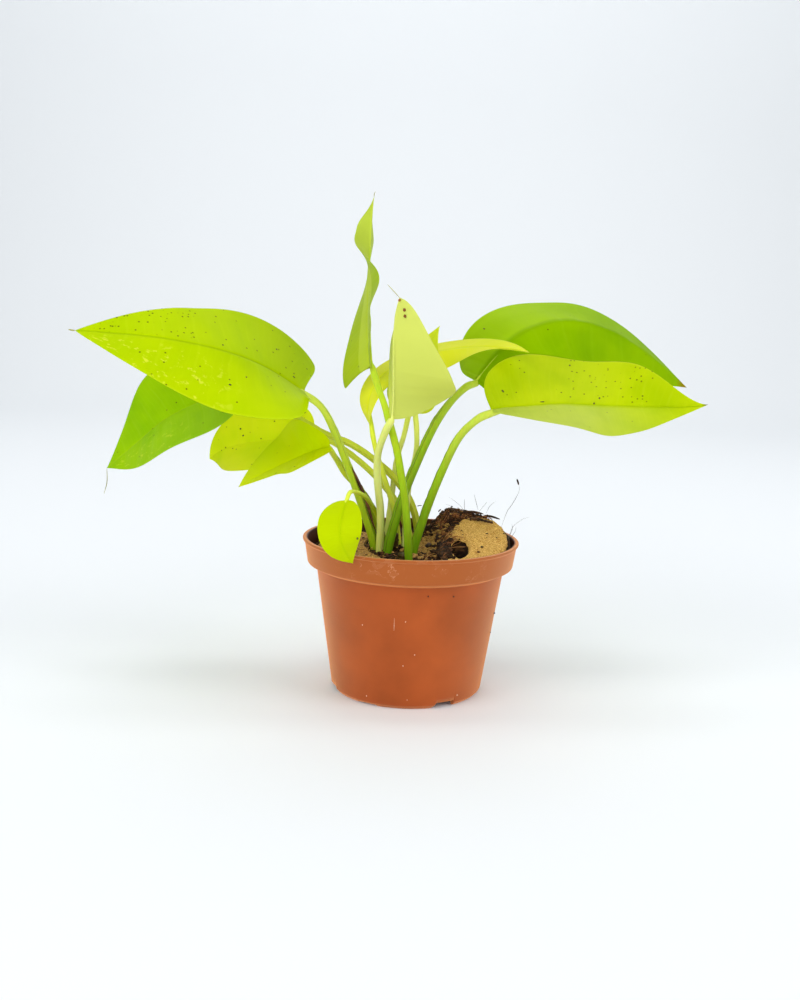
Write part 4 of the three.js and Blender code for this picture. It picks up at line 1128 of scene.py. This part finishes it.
def mat_rings(outline, hole, seed):
    """Rings below from inside to outside, then above from outside to inside; grit on the top."""
    edge = closed_curve(outline)
    torn = noise(edge[:, 0], edge[:, 1], 0, 2.4, seed) + 0.6 * noise(edge[:, 0], edge[:, 1], 5, 0.9, seed)
    middle = np.array(hole[:2]) if hole else edge.mean(0)
    out = edge - middle
    edge = edge + unit(out) * (0.45 * torn - 0.3)[:, None]
    inner = middle + out * 0.01
    if hole:
        bearing = np.arctan2(out[:, 1], out[:, 0])
        rag = 1 + 0.1 * noise(np.cos(bearing) * 4, np.sin(bearing) * 4, 0, 1.4, seed + 3)
        oval = np.stack([hole[2] * np.cos(bearing), hole[3] * np.sin(bearing)], 1)
        inner = middle + oval * rag[:, None]
    share = np.linspace(0, 1, MAT_RINGS)[:, None] ** 0.8
    flat = inner + (edge - inner) * share[..., None]
    x, y = flat[..., 0], flat[..., 1]
    base = mix_top(x, y) + 0.5
    grit = (0.14 * noise(x, y, 0, 1.1, seed + 5) + 0.1 * noise(x, y, 0, 0.55, seed + 6)
            + 0.5 * noise(x, y, 0, 7, seed + 7))
    crack = np.exp(-(noise(x, y, 0, 9, seed + 8) / 0.05) ** 2) * (noise(x, y, 3, 12, seed + 9) > 0.1)
    from_hole = share * 22 if hole else 1
    rounding = np.clip(np.minimum((1 - share) * 22, from_hole), 0, 1)
    full = MAT_THICK * np.sqrt(rounding * (2 - rounding)) * 0.85 + MAT_EDGE
    above = base + np.clip(full + (grit - 0.7 * crack) * rounding, MAT_EDGE, MAT_MOST)
    below = np.stack([x, y, base + 0.1 * (1 - rounding)], -1)
    return np.concatenate([below, np.stack([x, y, above], -1)[::-1]])


def mat_material(name, light, mid, dark, stain):
    """Pressed coir and sand: grains about 0.3 mm wide in two shades, cracks and darker stains."""
    material, tree = new_material(name)
    place = add(tree, "TexCoord").outputs["Object"]
    grains = add(tree, "TexVoronoi", {"Vector": place, "Scale": 3200.0})
    tone = add(tree, "SeparateColor", [grains.outputs["Color"]])
    shade = add(tree, "ValToRGB", [tone], [(0, mid), (0.05, dark), (1, light)])
    patches = add(tree, "TexNoise", {"Vector": place, "Scale": 170.0, "Detail": 5.0,
                                     "Roughness": 0.65})
    stained = add(tree, "MapRange", [patches, 0.56, 0.7, 0.0, stain], **SMOOTH)
    # fine cracks run slanting over the mat: a noise drawn out five times along them
    slant = add(tree, "Mapping", {"Vector": place, "Rotation": (0, 0, 0.5), "Scale": (0.2, 1, 1)})
    torn = add(tree, "TexNoise", {"Vector": slant, "Scale": 420.0, "Detail": 3.0})
    crack = add(tree, "MapRange", [torn, 0.4, 0.3, 0.0, 0.35], **SMOOTH)
    marked = add(tree, "Math", [stained, crack], operation="MAXIMUM")
    colour = add(tree, "Mix", [marked, shade, dark], data_type="RGBA")
    uneven = add(tree, "Math", [torn, 1.6, grains.outputs["Distance"]], operation="MULTIPLY_ADD")
    bump = add(tree, "Bump", {"Height": uneven, "Strength": 0.35, "Distance": 0.0004})
    shader = add(tree, "BsdfPrincipled", {"Base Color": colour, "Roughness": 0.95,
                                          "Specular IOR Level": 0.2, "Normal": bump})
    add(tree, "OutputMaterial", {"Surface": shader})
    return material


sandy = mat_material("pressed_coir_mat_sandy", "f4c874", "e6b25c", "a8702c", 0.2)
brown = mat_material("pressed_coir_mat_brown", "d8a862", "bc9052", "744e26", 0.45)
right_rings = mat_rings(RIGHT_MAT, RIGHT_HOLE, seed=40)
mesh_piece("torn_mat_right", *skin(right_rings, joined=True), sandy, "mulch_mat_sandy",
           ["mulch_mat_right"])
left_rings = mat_rings(LEFT_MAT, None, seed=60)
mesh_piece("torn_mat_left", *skin(left_rings), brown, "mulch_mat_brown", ["mulch_mat_left"])
print("mats:", right_rings.shape[0], "and", left_rings.shape[0], "rings of", MAT_POINTS, "points")

# %% [markdown]
# Coir is the husk of the coconut: stiff reddish-brown fibres a fifth of a millimetre thick, which
# stick up out of the mix in loose curls. Every fibre is a line of nine points that wanders over the
# mix, with a square section so that each has few faces. All the fibres of one kind are worked out
# at once, as arrays of paths, and fused into one mesh.

# %% Fibres
STRAND_SIDES = 4
FIBRE_POINTS = 9
FIBRE_REACH = 46.5     # fibres stay this near the pot's axis


def strands(paths, radius):
    """Thin closed bars along many paths at once: paths are (number, points, 3), radius (number,
    points). The section's two ways come from the path's own way and one fixed way across it."""
    way = np.gradient(paths, axis=1)
    way /= np.linalg.norm(way, axis=2)[..., None] + 1e-9
    across = np.cross(way, np.array([0.31, 0.22, 0.93]))
    across /= np.linalg.norm(across, axis=2)[..., None] + 1e-9
    above = np.cross(across, way)
    angle = round_angles(STRAND_SIDES) + math.pi / STRAND_SIDES
    rings = (paths[:, :, None] + (radius[..., None] * np.cos(angle))[..., None] * across[:, :, None]
             + (radius[..., None] * np.sin(angle))[..., None] * above[:, :, None])
    number, count = paths.shape[:2]
    start = (np.arange(number) * count * STRAND_SIDES)[:, None, None]
    row = start + (np.arange(count - 1) * STRAND_SIDES)[None, :, None]
    here = np.arange(STRAND_SIDES)
    after = (here + 1) % STRAND_SIDES
    next_row = row + STRAND_SIDES
    quads = np.stack([row + here, next_row + here, next_row + after, row + after], -1).reshape(-1, 4)
    last = start[:, 0] + (count - 1) * STRAND_SIDES
    ends = np.concatenate([start[:, 0] + here, last + here[::-1]])
    return rings.reshape(-1, 3), np.concatenate([quads, ends]), ()


def wandering(rng, number, centre, spread, length, lift, curl=2.2):
    """Paths that start round a centre and wander over the mix with a slowly turning bearing; each
    rises in an arch of up to the lift, and lies a little proud of the mix everywhere."""
    s = np.linspace(0, 1, FIBRE_POINTS)[None, :]
    x0 = rng.normal(centre[0], spread[0], (number, 1))
    y0 = rng.normal(centre[1], spread[1], (number, 1))
    bearing = rng.uniform(0, 2 * math.pi, (number, 1))
    turning = rng.normal(0, curl, (number, 1))
    sway = rng.normal(0, 0.8, (number, 1))
    step = rng.uniform(*length, (number, 1)) / (FIBRE_POINTS - 1)
    heading = bearing + turning * s + sway * np.sin(s * 5)
    x = x0 + np.cumsum(np.cos(heading), 1) * step
    y = y0 + np.cumsum(np.sin(heading), 1) * step
    inside = np.minimum(1, FIBRE_REACH / np.maximum(np.hypot(x, y), 1))
    x, y = x * inside, y * inside
    rise = rng.uniform(0, lift, (number, 1)) * np.sin(s * math.pi * rng.uniform(0.5, 1.1, (number, 1)))
    proud = np.where((x > 15) & (y < 26), 2.4, 0.3) + np.where(x < -18, 2.2, 0)
    return np.stack([x, y, mix_top(x, y) + proud + rise], -1)


def fibre_material(name, dark, light):
    """Dry plant fibre: each 3 mm stretch takes its own shade between a dark and a light one."""
    material, tree = new_material(name)
    place = add(tree, "TexCoord").outputs["Object"]
    tone = add(tree, "TexNoise", {"Vector": place, "Scale": 330.0})
    shade = add(tree, "ValToRGB", [tone], [(0.4, dark), (0.62, light)])
    shader = add(tree, "BsdfPrincipled", {"Base Color": shade, "Roughness": 0.7,
                                          "Specular IOR Level": 0.3})
    add(tree, "OutputMaterial", {"Surface": shader})
    return material


rng = np.random.default_rng(7)
# each row: how many, their middle, how far they spread, their lengths and their lift in mm, and
# in one of them how much they curl
COIR = [(150, (19, 33), (7, 3), (5, 14), 1.6), (110, (33, 30), (6, 2.5), (5, 12), 1.6),
        (190, (11, 2), (3.5, 13), (4, 12), 1.5), (70, (-6, 2), (9, 16), (5, 14), 1.0)]
TAN = [(14, (11, -4), (4, 8), (7, 16), 2.0, 1.2), (20, (22, 31), (8, 3), (6, 12), 2.0),
       (22, (-8, -2), (7, 12), (6, 14), 1.5)]
coir = fibre_material("coir_fibre_red_brown", "46240f", "a86838")
tan = fibre_material("coir_fibre_tan", "6e4420", "b8844c")
for name, heaps, thickness, material, slot in (
        ("coir_fibres", COIR, (0.07, 0.17), coir, "mulch_mat_brown"),
        ("tan_fibres", TAN, (0.1, 0.26), tan, "mulch_mat_sandy")):
    paths = np.concatenate([wandering(rng, *heap) for heap in heaps])
    thin_ends = 1 - 0.6 * np.linspace(-1, 1, FIBRE_POINTS)[None, :] ** 4
    thick = rng.uniform(*thickness, (len(paths), 1)) * thin_ends
    mesh_piece(name, *strands(paths, thick), material, slot)
    print(name, len(paths))

# %% [markdown]
# Crumbs of peat, grit and bark lie about on the mix and the mats. Each is an icosahedron whose
# twelve corners are pushed about at random and whose sides are stretched, which is enough for a
# thing of one or two millimetres. Like the fibres, they are made all at once.

# %% Crumbs
CRUMB_REACH = 46       # crumbs stay this near the pot's axis
CLEAR_WIDE, CLEAR_LONG = 4.6, 12     # and out of this ellipse over the right mat's hole


def icosahedron():
    """Twelve corners: the even shifts of 0, 1 and the golden ratio, scaled to a unit ball."""
    g = (1 + math.sqrt(5)) / 2
    corners = np.array([(-1, g, 0), (1, g, 0), (-1, -g, 0), (1, -g, 0), (0, -1, g), (0, 1, g),
                        (0, -1, -g), (0, 1, -g), (g, 0, -1), (g, 0, 1), (-g, 0, -1), (-g, 0, 1)])
    faces = np.array([(0, 11, 5), (0, 5, 1), (0, 1, 7), (0, 7, 10), (0, 10, 11), (1, 5, 9),
                      (5, 11, 4), (11, 10, 2), (10, 7, 6), (7, 1, 8), (3, 9, 4), (3, 4, 2),
                      (3, 2, 6), (3, 6, 8), (3, 8, 9), (4, 9, 5), (2, 4, 11), (6, 2, 10),
                      (8, 6, 7), (9, 8, 1)])
    return corners / math.sqrt(1 + g * g), faces


def lumps(rng, places, size, flat=0.7):
    """One pushed-about icosahedron at each place, turned about the upright, half size in mm."""
    corners, faces = icosahedron()
    number = len(places)
    shape = corners[None] * (1 + rng.uniform(-0.28, 0.28, (number, 12, 1)))
    shape = shape * rng.uniform(0.6, 1.3, (number, 1, 3)) * [1, 1, flat]
    turn = rng.uniform(0, 2 * math.pi, number)
    body = spun(shape, turn[:, None]) * np.asarray(size)[:, None, None]
    points = (places[:, None] + body).reshape(-1, 3)
    return points, (), (np.arange(number)[:, None, None] * 12 + faces).reshape(-1, 3)


def scattered(rng, number, centre, spread, lift):
    """Places round a centre, kept inside the pot and out of the hole, a little above the mix."""
    x = rng.normal(centre[0], spread[0], number)
    y = rng.normal(centre[1], spread[1], number)
    inside = np.minimum(1, CRUMB_REACH / np.maximum(np.hypot(x, y), 1))
    x, y = x * inside, y * inside
    out_of_hole = ((x - hole_x) / CLEAR_WIDE) ** 2 + ((y - hole_y) / CLEAR_LONG) ** 2 > 1
    return np.stack([x, y, mix_top(x, y) + lift], 1)[out_of_hole]


def heaped(rng, heaps):
    """Places for all the heaps; each row says how many, their middle, their spread and their lift."""
    return np.concatenate([scattered(rng, *heap) for heap in heaps])


places = heaped(rng, [(420, (8, 2), (8, 20), 0.9), (220, (24, 32), (10, 3), 0.9),
                      (420, (16.4, -11), (1.7, 6.5), 2.4), (90, (-44.5, 6), (1.5, 14), 1.0),
                      (120, (-10, 4), (9, 22), 0.9)])
sizes = rng.gamma(2.2, 0.34, len(places)).clip(0.25, 1.9)
mesh_piece("peat_crumbs", *lumps(rng, places, sizes), peat, "potting_mix")
bark_bits = fibre_material("dark_bark", "1e1209", "5a3a20")
# name, heaps, least and most half size, how flat, material and slot
LUMPS = [
    ("sandy_grains", [(60, (32, -4), (8, 16), 2.25), (110, (-30, -6), (8, 18), 2.3),
                      (90, (9, 4), (5, 14), 1.1)], (0.2, 0.55), 0.7, sandy, "mulch_mat_sandy"),
    ("mat_crumbs", [(420, (9, 6), (6, 10), 1.3)], (0.5, 1.5), 0.7, brown, "mulch_mat_brown"),
    ("bark_bits", [(12, (33, -2), (8, 16), 2.3), (40, (-30, -6), (8, 18), 2.45),
                   (50, (14, 24), (10, 8), 1.6)], (0.3, 0.9), 0.5, bark_bits, "bark"),
]
for name, heaps, half_sizes, flat, material, slot in LUMPS:
    places = heaped(rng, heaps)
    sizes = rng.uniform(*half_sizes, len(places))
    mesh_piece(name, *lumps(rng, places, sizes, flat), material, slot)
    print(name, len(places))

# %% [markdown]
# Three larger chips of bark and a broken twig lie on top. Each chip is a ball with its radius
# lowered in steps by a noise, so that it breaks in flat facets; the twig is a bar with knots. Two
# stubs of the old vine stand where the cutting was taken, with a ring for each old leaf's scar.

# %% Chips, twig and vine stubs
CHIP_RINGS, CHIP_POINTS = 22, 36
TWIG_RINGS, TWIG_POINTS = 30, 14
STUB_RINGS, STUB_POINTS = 60, 28


def ball_rings(size, turn_degrees, centre, seed):
    """Rings of a stretched ball, its radius cut back in steps by one noise and roughened by another."""
    polar = np.linspace(0.08, math.pi - 0.08, CHIP_RINGS)[:, None]
    round_angle = round_angles(CHIP_POINTS)[None, :]
    unit_ball = np.stack(np.broadcast_arrays(np.sin(polar) * np.cos(round_angle),
                                             np.sin(polar) * np.sin(round_angle), -np.cos(polar)), -1)
    where = np.moveaxis(unit_ball * 3, -1, 0)
    cut = np.round(noise(*where, 1.3, seed) * 4) / 4
    radius = 1 + 0.12 * cut + 0.05 * noise(*where, 0.3, seed + 1)
    return spun(unit_ball * radius[..., None] * size, math.radians(turn_degrees)) + centre


# half sizes in mm and turn in degrees
CHIPS = {"bark_chip_front": ((3.4, 1.8, 1.1), 20), "bark_chip_middle": ((2.6, 1.7, 1.2), 75),
         "bark_chip_rear": ((3.6, 2.0, 1.3), 130)}
for number, (name, (size, turn_degrees)) in enumerate(CHIPS.items()):
    low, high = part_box(name)
    centre = (np.array(low) + np.array(high)) / 2 / MM
    rings = ball_rings(size, turn_degrees, centre, seed=80 + number)
    mesh_piece("broken_" + name, *skin(rings), bark_bits, "bark", [name])

low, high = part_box("twig")
twig_height = (low[2] + high[2]) / 2 / MM
# the twig runs 11 mm to the right and 6 mm forward in slow waves
s = np.linspace(0, 1, TWIG_RINGS)
twig_path = np.stack([30 + 11 * s, 22 - 6 * s + 0.5 * np.sin(s * 7),
                      twig_height - 0.3 + 0.4 * np.sin(s * 4)], 1)
knots = 0.25 * np.exp(-((s - 0.35) / 0.05) ** 2) + 0.12 * np.sin(s * 40)
twig_radius = 0.8 * (1 - 0.3 * s) * (1 + knots)
twig_rings = tube(twig_path, twig_radius[:, None], round_angles(TWIG_POINTS),
                  *carried_frames(twig_path, 0, (0, 0, 1)))
mesh_piece("broken_twig", *skin(twig_rings), bark_bits, "bark", ["twig"])

# place on the mix, radius and the height of the cut
STUBS = {"vine_stub_left": (-8.5, 3, 2.7, 76), "vine_stub_front": (-3.5, -15, 2.9, 70)}
stub_skin = petiole_material("dark_vine_bark", "2c1c0e", "30200f", "3a2814", "2c1c0e", 0.5)
s = np.linspace(0, 1, STUB_RINGS)[:, None]
scar = np.exp(-((s - 0.72) / 0.018) ** 2) + np.exp(-((s - 0.86) / 0.018) ** 2)
turn = round_angles(STUB_POINTS)
ragged = 1 + 0.04 * noise(np.cos(turn) * 2, np.sin(turn) * 2, s * 9, 0.7, seed=90)
values = {"along": np.concatenate([np.repeat(s, STUB_POINTS), [0, 1]]),
          "rim": np.concatenate([np.repeat(scar, STUB_POINTS), [0, 0]])}
for name, (x, y, thick, top) in STUBS.items():
    bottom = MIX_LEVEL - PETIOLE_DEPTH
    radius = thick * (1 - 0.08 * s + 0.1 * scar) * np.where(s > 0.985, 0.85, 1)
    height = bottom + (top - bottom) * s + 0.5 * np.sin(turn) * (s > 0.97)
    rings = np.stack([x + radius * ragged * np.cos(turn), y + radius * ragged * np.sin(turn), height], -1)
    mesh_piece("cut_" + name, *skin(rings), stub_skin, "stem", [name], values)
print("bark chips:", len(CHIPS), "vine stubs:", len(STUBS))

# %% [markdown]
# What makes a plant look real is often tiny: stiff grey root hairs standing out of the mix, one of
# them with a seed head, leaf tips that dried to a thread, an old sheath gone brown, scars on the
# blades and specks of dirt on the pot. Threads are run through a few given points; scars are put
# on a blade by their two leaf values, so that they lie on it wherever it bends.

# %% Hairs, dry tips and scars
THREAD_POINTS = 13


def threads(name, routes, thickness, material, slot):
    """Thin bars through the points of each route, drawn fine at both ends."""
    paths = np.stack([rope(route, THREAD_POINTS)[0] for route in routes])
    fine = 1 - 0.7 * np.abs(np.linspace(-1, 1, THREAD_POINTS)) ** 3
    radius = np.asarray(thickness, float)[:, None] * fine
    mesh_piece(name, *strands(paths, radius), material, slot)


grey = fibre_material("dry_grey_hair", "4c463c", "8a8478")
# routes in mm; the last hair carries the seed head
HAIRS = [
    [(27.4, 30, 83.6), (27.2, 30, 86.7), (27.1, 30, 89.8)],
    [(34.3, 30, 84.3), (33.1, 30, 88.5), (31.9, 30, 92.6)],
    [(34.1, 28, 83), (36.6, 28, 86.4), (38.5, 28, 89)],
    [(38.2, 27, 83), (40.1, 27, 87.1), (43, 27, 89.8)],
    [(23.6, 32, 82), (20.4, 32, 85.4), (17.3, 32, 86.5)],
    [(47.4, 3, 74.4), (49.9, 3, 81.3), (51.8, 3, 83.3), (54.6, 3, 85.4), (57.5, 3, 86.5)],
    [(47.6, 4, 74.2), (49.6, 4, 79.5), (49.5, 4, 82.5)],
    [(47.5, 2, 74), (50.9, 2, 79), (51.3, 2, 81.5)],
    [(29, 31, 82), (24, 31, 87), (19, 31, 90.5)],
    [(45.4, 20, 76.5), (48.2, 20, 85.6), (50.1, 20, 88.7), (52.4, 20, 92.9), (54, 20, 97), (53.4, 20, 100)],
]
threads("grey_root_hairs", HAIRS, [0.1, 0.1, 0.08, 0.08, 0.08, 0.08, 0.1, 0.08, 0.08, 0.11], grey,
        "mulch_mat_brown")
dark_dry = fibre_material("dried_plant_brown", "241409", "5c3820")
BITS = [[(53.4, 20, 99.6), (53, 20, 101), (52.4, 20, 102.6)],
        [(2.9, 30, 85.3), (4.2, 30, 85.6), (5.5, 30, 85.7)],
        [(13.9, 32, 82.3), (14.6, 32, 83), (15.4, 32, 83.8)],
        [(36, 24, 82.2), (40, 23, 82.6), (45, 22, 81.4)],
        [(25, 31, 82.2), (31, 30, 83.3), (37, 29, 82.6)]]
threads("seed_head_and_bits", BITS, [0.5, 0.3, 0.35, 0.7, 0.8], dark_dry, "bark")
sheath_brown = fibre_material("dried_sheath", "46281a", "7c4e30")
OLD_SHEATH = [(-30.4, 2, 109), (-27.8, 2.5, 104), (-23.2, 3, 94), (-20.8, 3.4, 87), (-18.4, 3.8, 79)]
threads("dried_sheath_strip", [OLD_SHEATH], [0.9], sheath_brown, "bark")
straw = fibre_material("dried_leaf_tip", "8c8a4c", "b4b068")
# how the dry threads go on from the ends of four midribs
TIPS = {"leaf_left_hanging": [(-152, 14, 95), (-153.6, 14, 89)],
        "leaf_centre_pale": [(-11.2, -46.6, 192.2), (-14.4, -47, 195.4)],
        "leaf_tall_twisted": [(-23, 12, 238), (-22.5, 12, 239.5)],
        "leaf_left_large": [(-153.5, -38, 171.1), (-155, -38, 171.3)]}
tip_routes = [[LEAVES[name]["midrib"][-1], *rest] for name, rest in TIPS.items()]
threads("dried_leaf_tips", tip_routes, [0.2, 0.2, 0.2, 0.4], straw, "leaf_green")
# scars: shares along and across the blade, half length and half width in mm
SCARS = {
    "leaf_left_large": [(0.244, -0.5, 0.6, 0.6), (0.512, -0.12, 0.5, 0.5), (0.488, 0.55, 0.8, 0.5),
                        (0.429, 0.35, 0.5, 0.5), (0.127, -0.17, 0.9, 0.5), (0.135, -0.25, 0.5, 0.4)],
    "leaf_right_front": [(0.58, 0.06, 0.7, 1.5), (0.478, 0.05, 2.0, 0.45), (0.361, 0.05, 2.6, 0.45),
                         (0.585, -0.38, 1.1, 0.5), (0.147, 0.37, 0.5, 1.0), (0.459, 0.84, 0.5, 0.7),
                         (0.6, 0.16, 0.5, 0.9)],
    "leaf_right_rear": [(0.278, 0.68, 0.4, 1.1)],
    "leaf_rim_small": [(0.629, 0.87, 0.7, 0.5)],
    "leaf_left_middle": [(0.702, -0.43, 0.6, 0.5), (0.688, -0.22, 0.7, 0.5)],
}
SCAR_THICK, SCAR_LIFT = 0.14, 0.4     # half thickness, and how far its middle is above the blade
scar_points, scar_faces = [], []
ball, ball_faces = icosahedron()
for name, scars in SCARS.items():
    leaf, table = LEAVES[name], tables[name]
    for along, across, half_length, half_width in scars:
        t, v = np.array([along]), np.array([across])
        at = blade_points(leaf, table, t, v)[0]
        upward = blade_normals(leaf, table, t, v)[0]
        forward = unit(blade_points(leaf, table, t + 0.01, v)[0] - at)
        sideways = np.cross(upward, forward)
        body = (ball[:, :1] * half_length * forward + ball[:, 1:2] * half_width * sideways
                + ball[:, 2:] * SCAR_THICK * upward)
        scar_faces.append(ball_faces + 12 * len(scar_points))
        scar_points.append(at + upward * SCAR_LIFT + body)
scar_brown = fibre_material("leaf_scar_olive", "4c5210", "6c6c1a")
mesh_piece("leaf_scars", np.concatenate(scar_points), (), np.concatenate(scar_faces), scar_brown,
           "leaf_green")
brown_spot = fibre_material("leaf_scar_brown", "7c4418", "a86828")
SPOT_ALONG, SPOT_ACROSS, SPOT_SIZES = [0.9, 0.93, 0.985], [0.4, 0.42, 0.1], [0.95, 0.6, 0.6]
spot_at = blade_points(LEAVES["leaf_centre_pale"], tables["leaf_centre_pale"], np.array(SPOT_ALONG),
                       np.array(SPOT_ACROSS))
mesh_piece("brown_leaf_spots", *lumps(rng, spot_at + [0, -0.5, 0], SPOT_SIZES, 1.3), brown_spot, "bark")

# specks on the pot's outside: bearing from the front and height of each
PALE_SPECKS = [(-2, 44.4), (-30, 40.5), (4.5, 28.1), (-2.8, 22.4), (-29.8, 4.7), (0.8, 5.1), (40.3, 5.3)]
DARK_SPECKS = [(26.5, 56.3), (10.6, 57), (76, 41), (77, 31)]
SCRATCH = [(-8.8, 46), (-8.9, 43), (-9, 39.6)]


def on_pot(spots):
    """Places on the pot's outside wall: its radius at the height, turned by the bearing."""
    degrees, z = np.array(spots, float).T
    out = np.interp(z, [1.8, SHOULDER, BAND_FOOT, POT_HEIGHT],
                    [FOOT_RADIUS, SHOULDER_RADIUS, BAND_FOOT_RADIUS, BAND_RADIUS])
    bearing = np.radians(degrees)
    return np.stack([out * np.sin(bearing), -out * np.cos(bearing), z], 1)


dust = fibre_material("dried_lime_dust", "d8a684", "ecc8ac")
pale_sizes = np.full(len(PALE_SPECKS), 0.3)
mesh_piece("pale_pot_specks", *lumps(rng, on_pot(PALE_SPECKS), pale_sizes, 1.4), dust, "pot_plastic")
mesh_piece("dark_pot_specks", *lumps(rng, on_pot(DARK_SPECKS), [0.45, 0.4, 0.7, 0.55], 1.0),
           bark_bits, "bark")
threads("pale_pot_scratch", [on_pot(SCRATCH)], [0.1], dust, "pot_plastic")
print("root hairs:", len(HAIRS), "leaf scars:", len(scar_points))
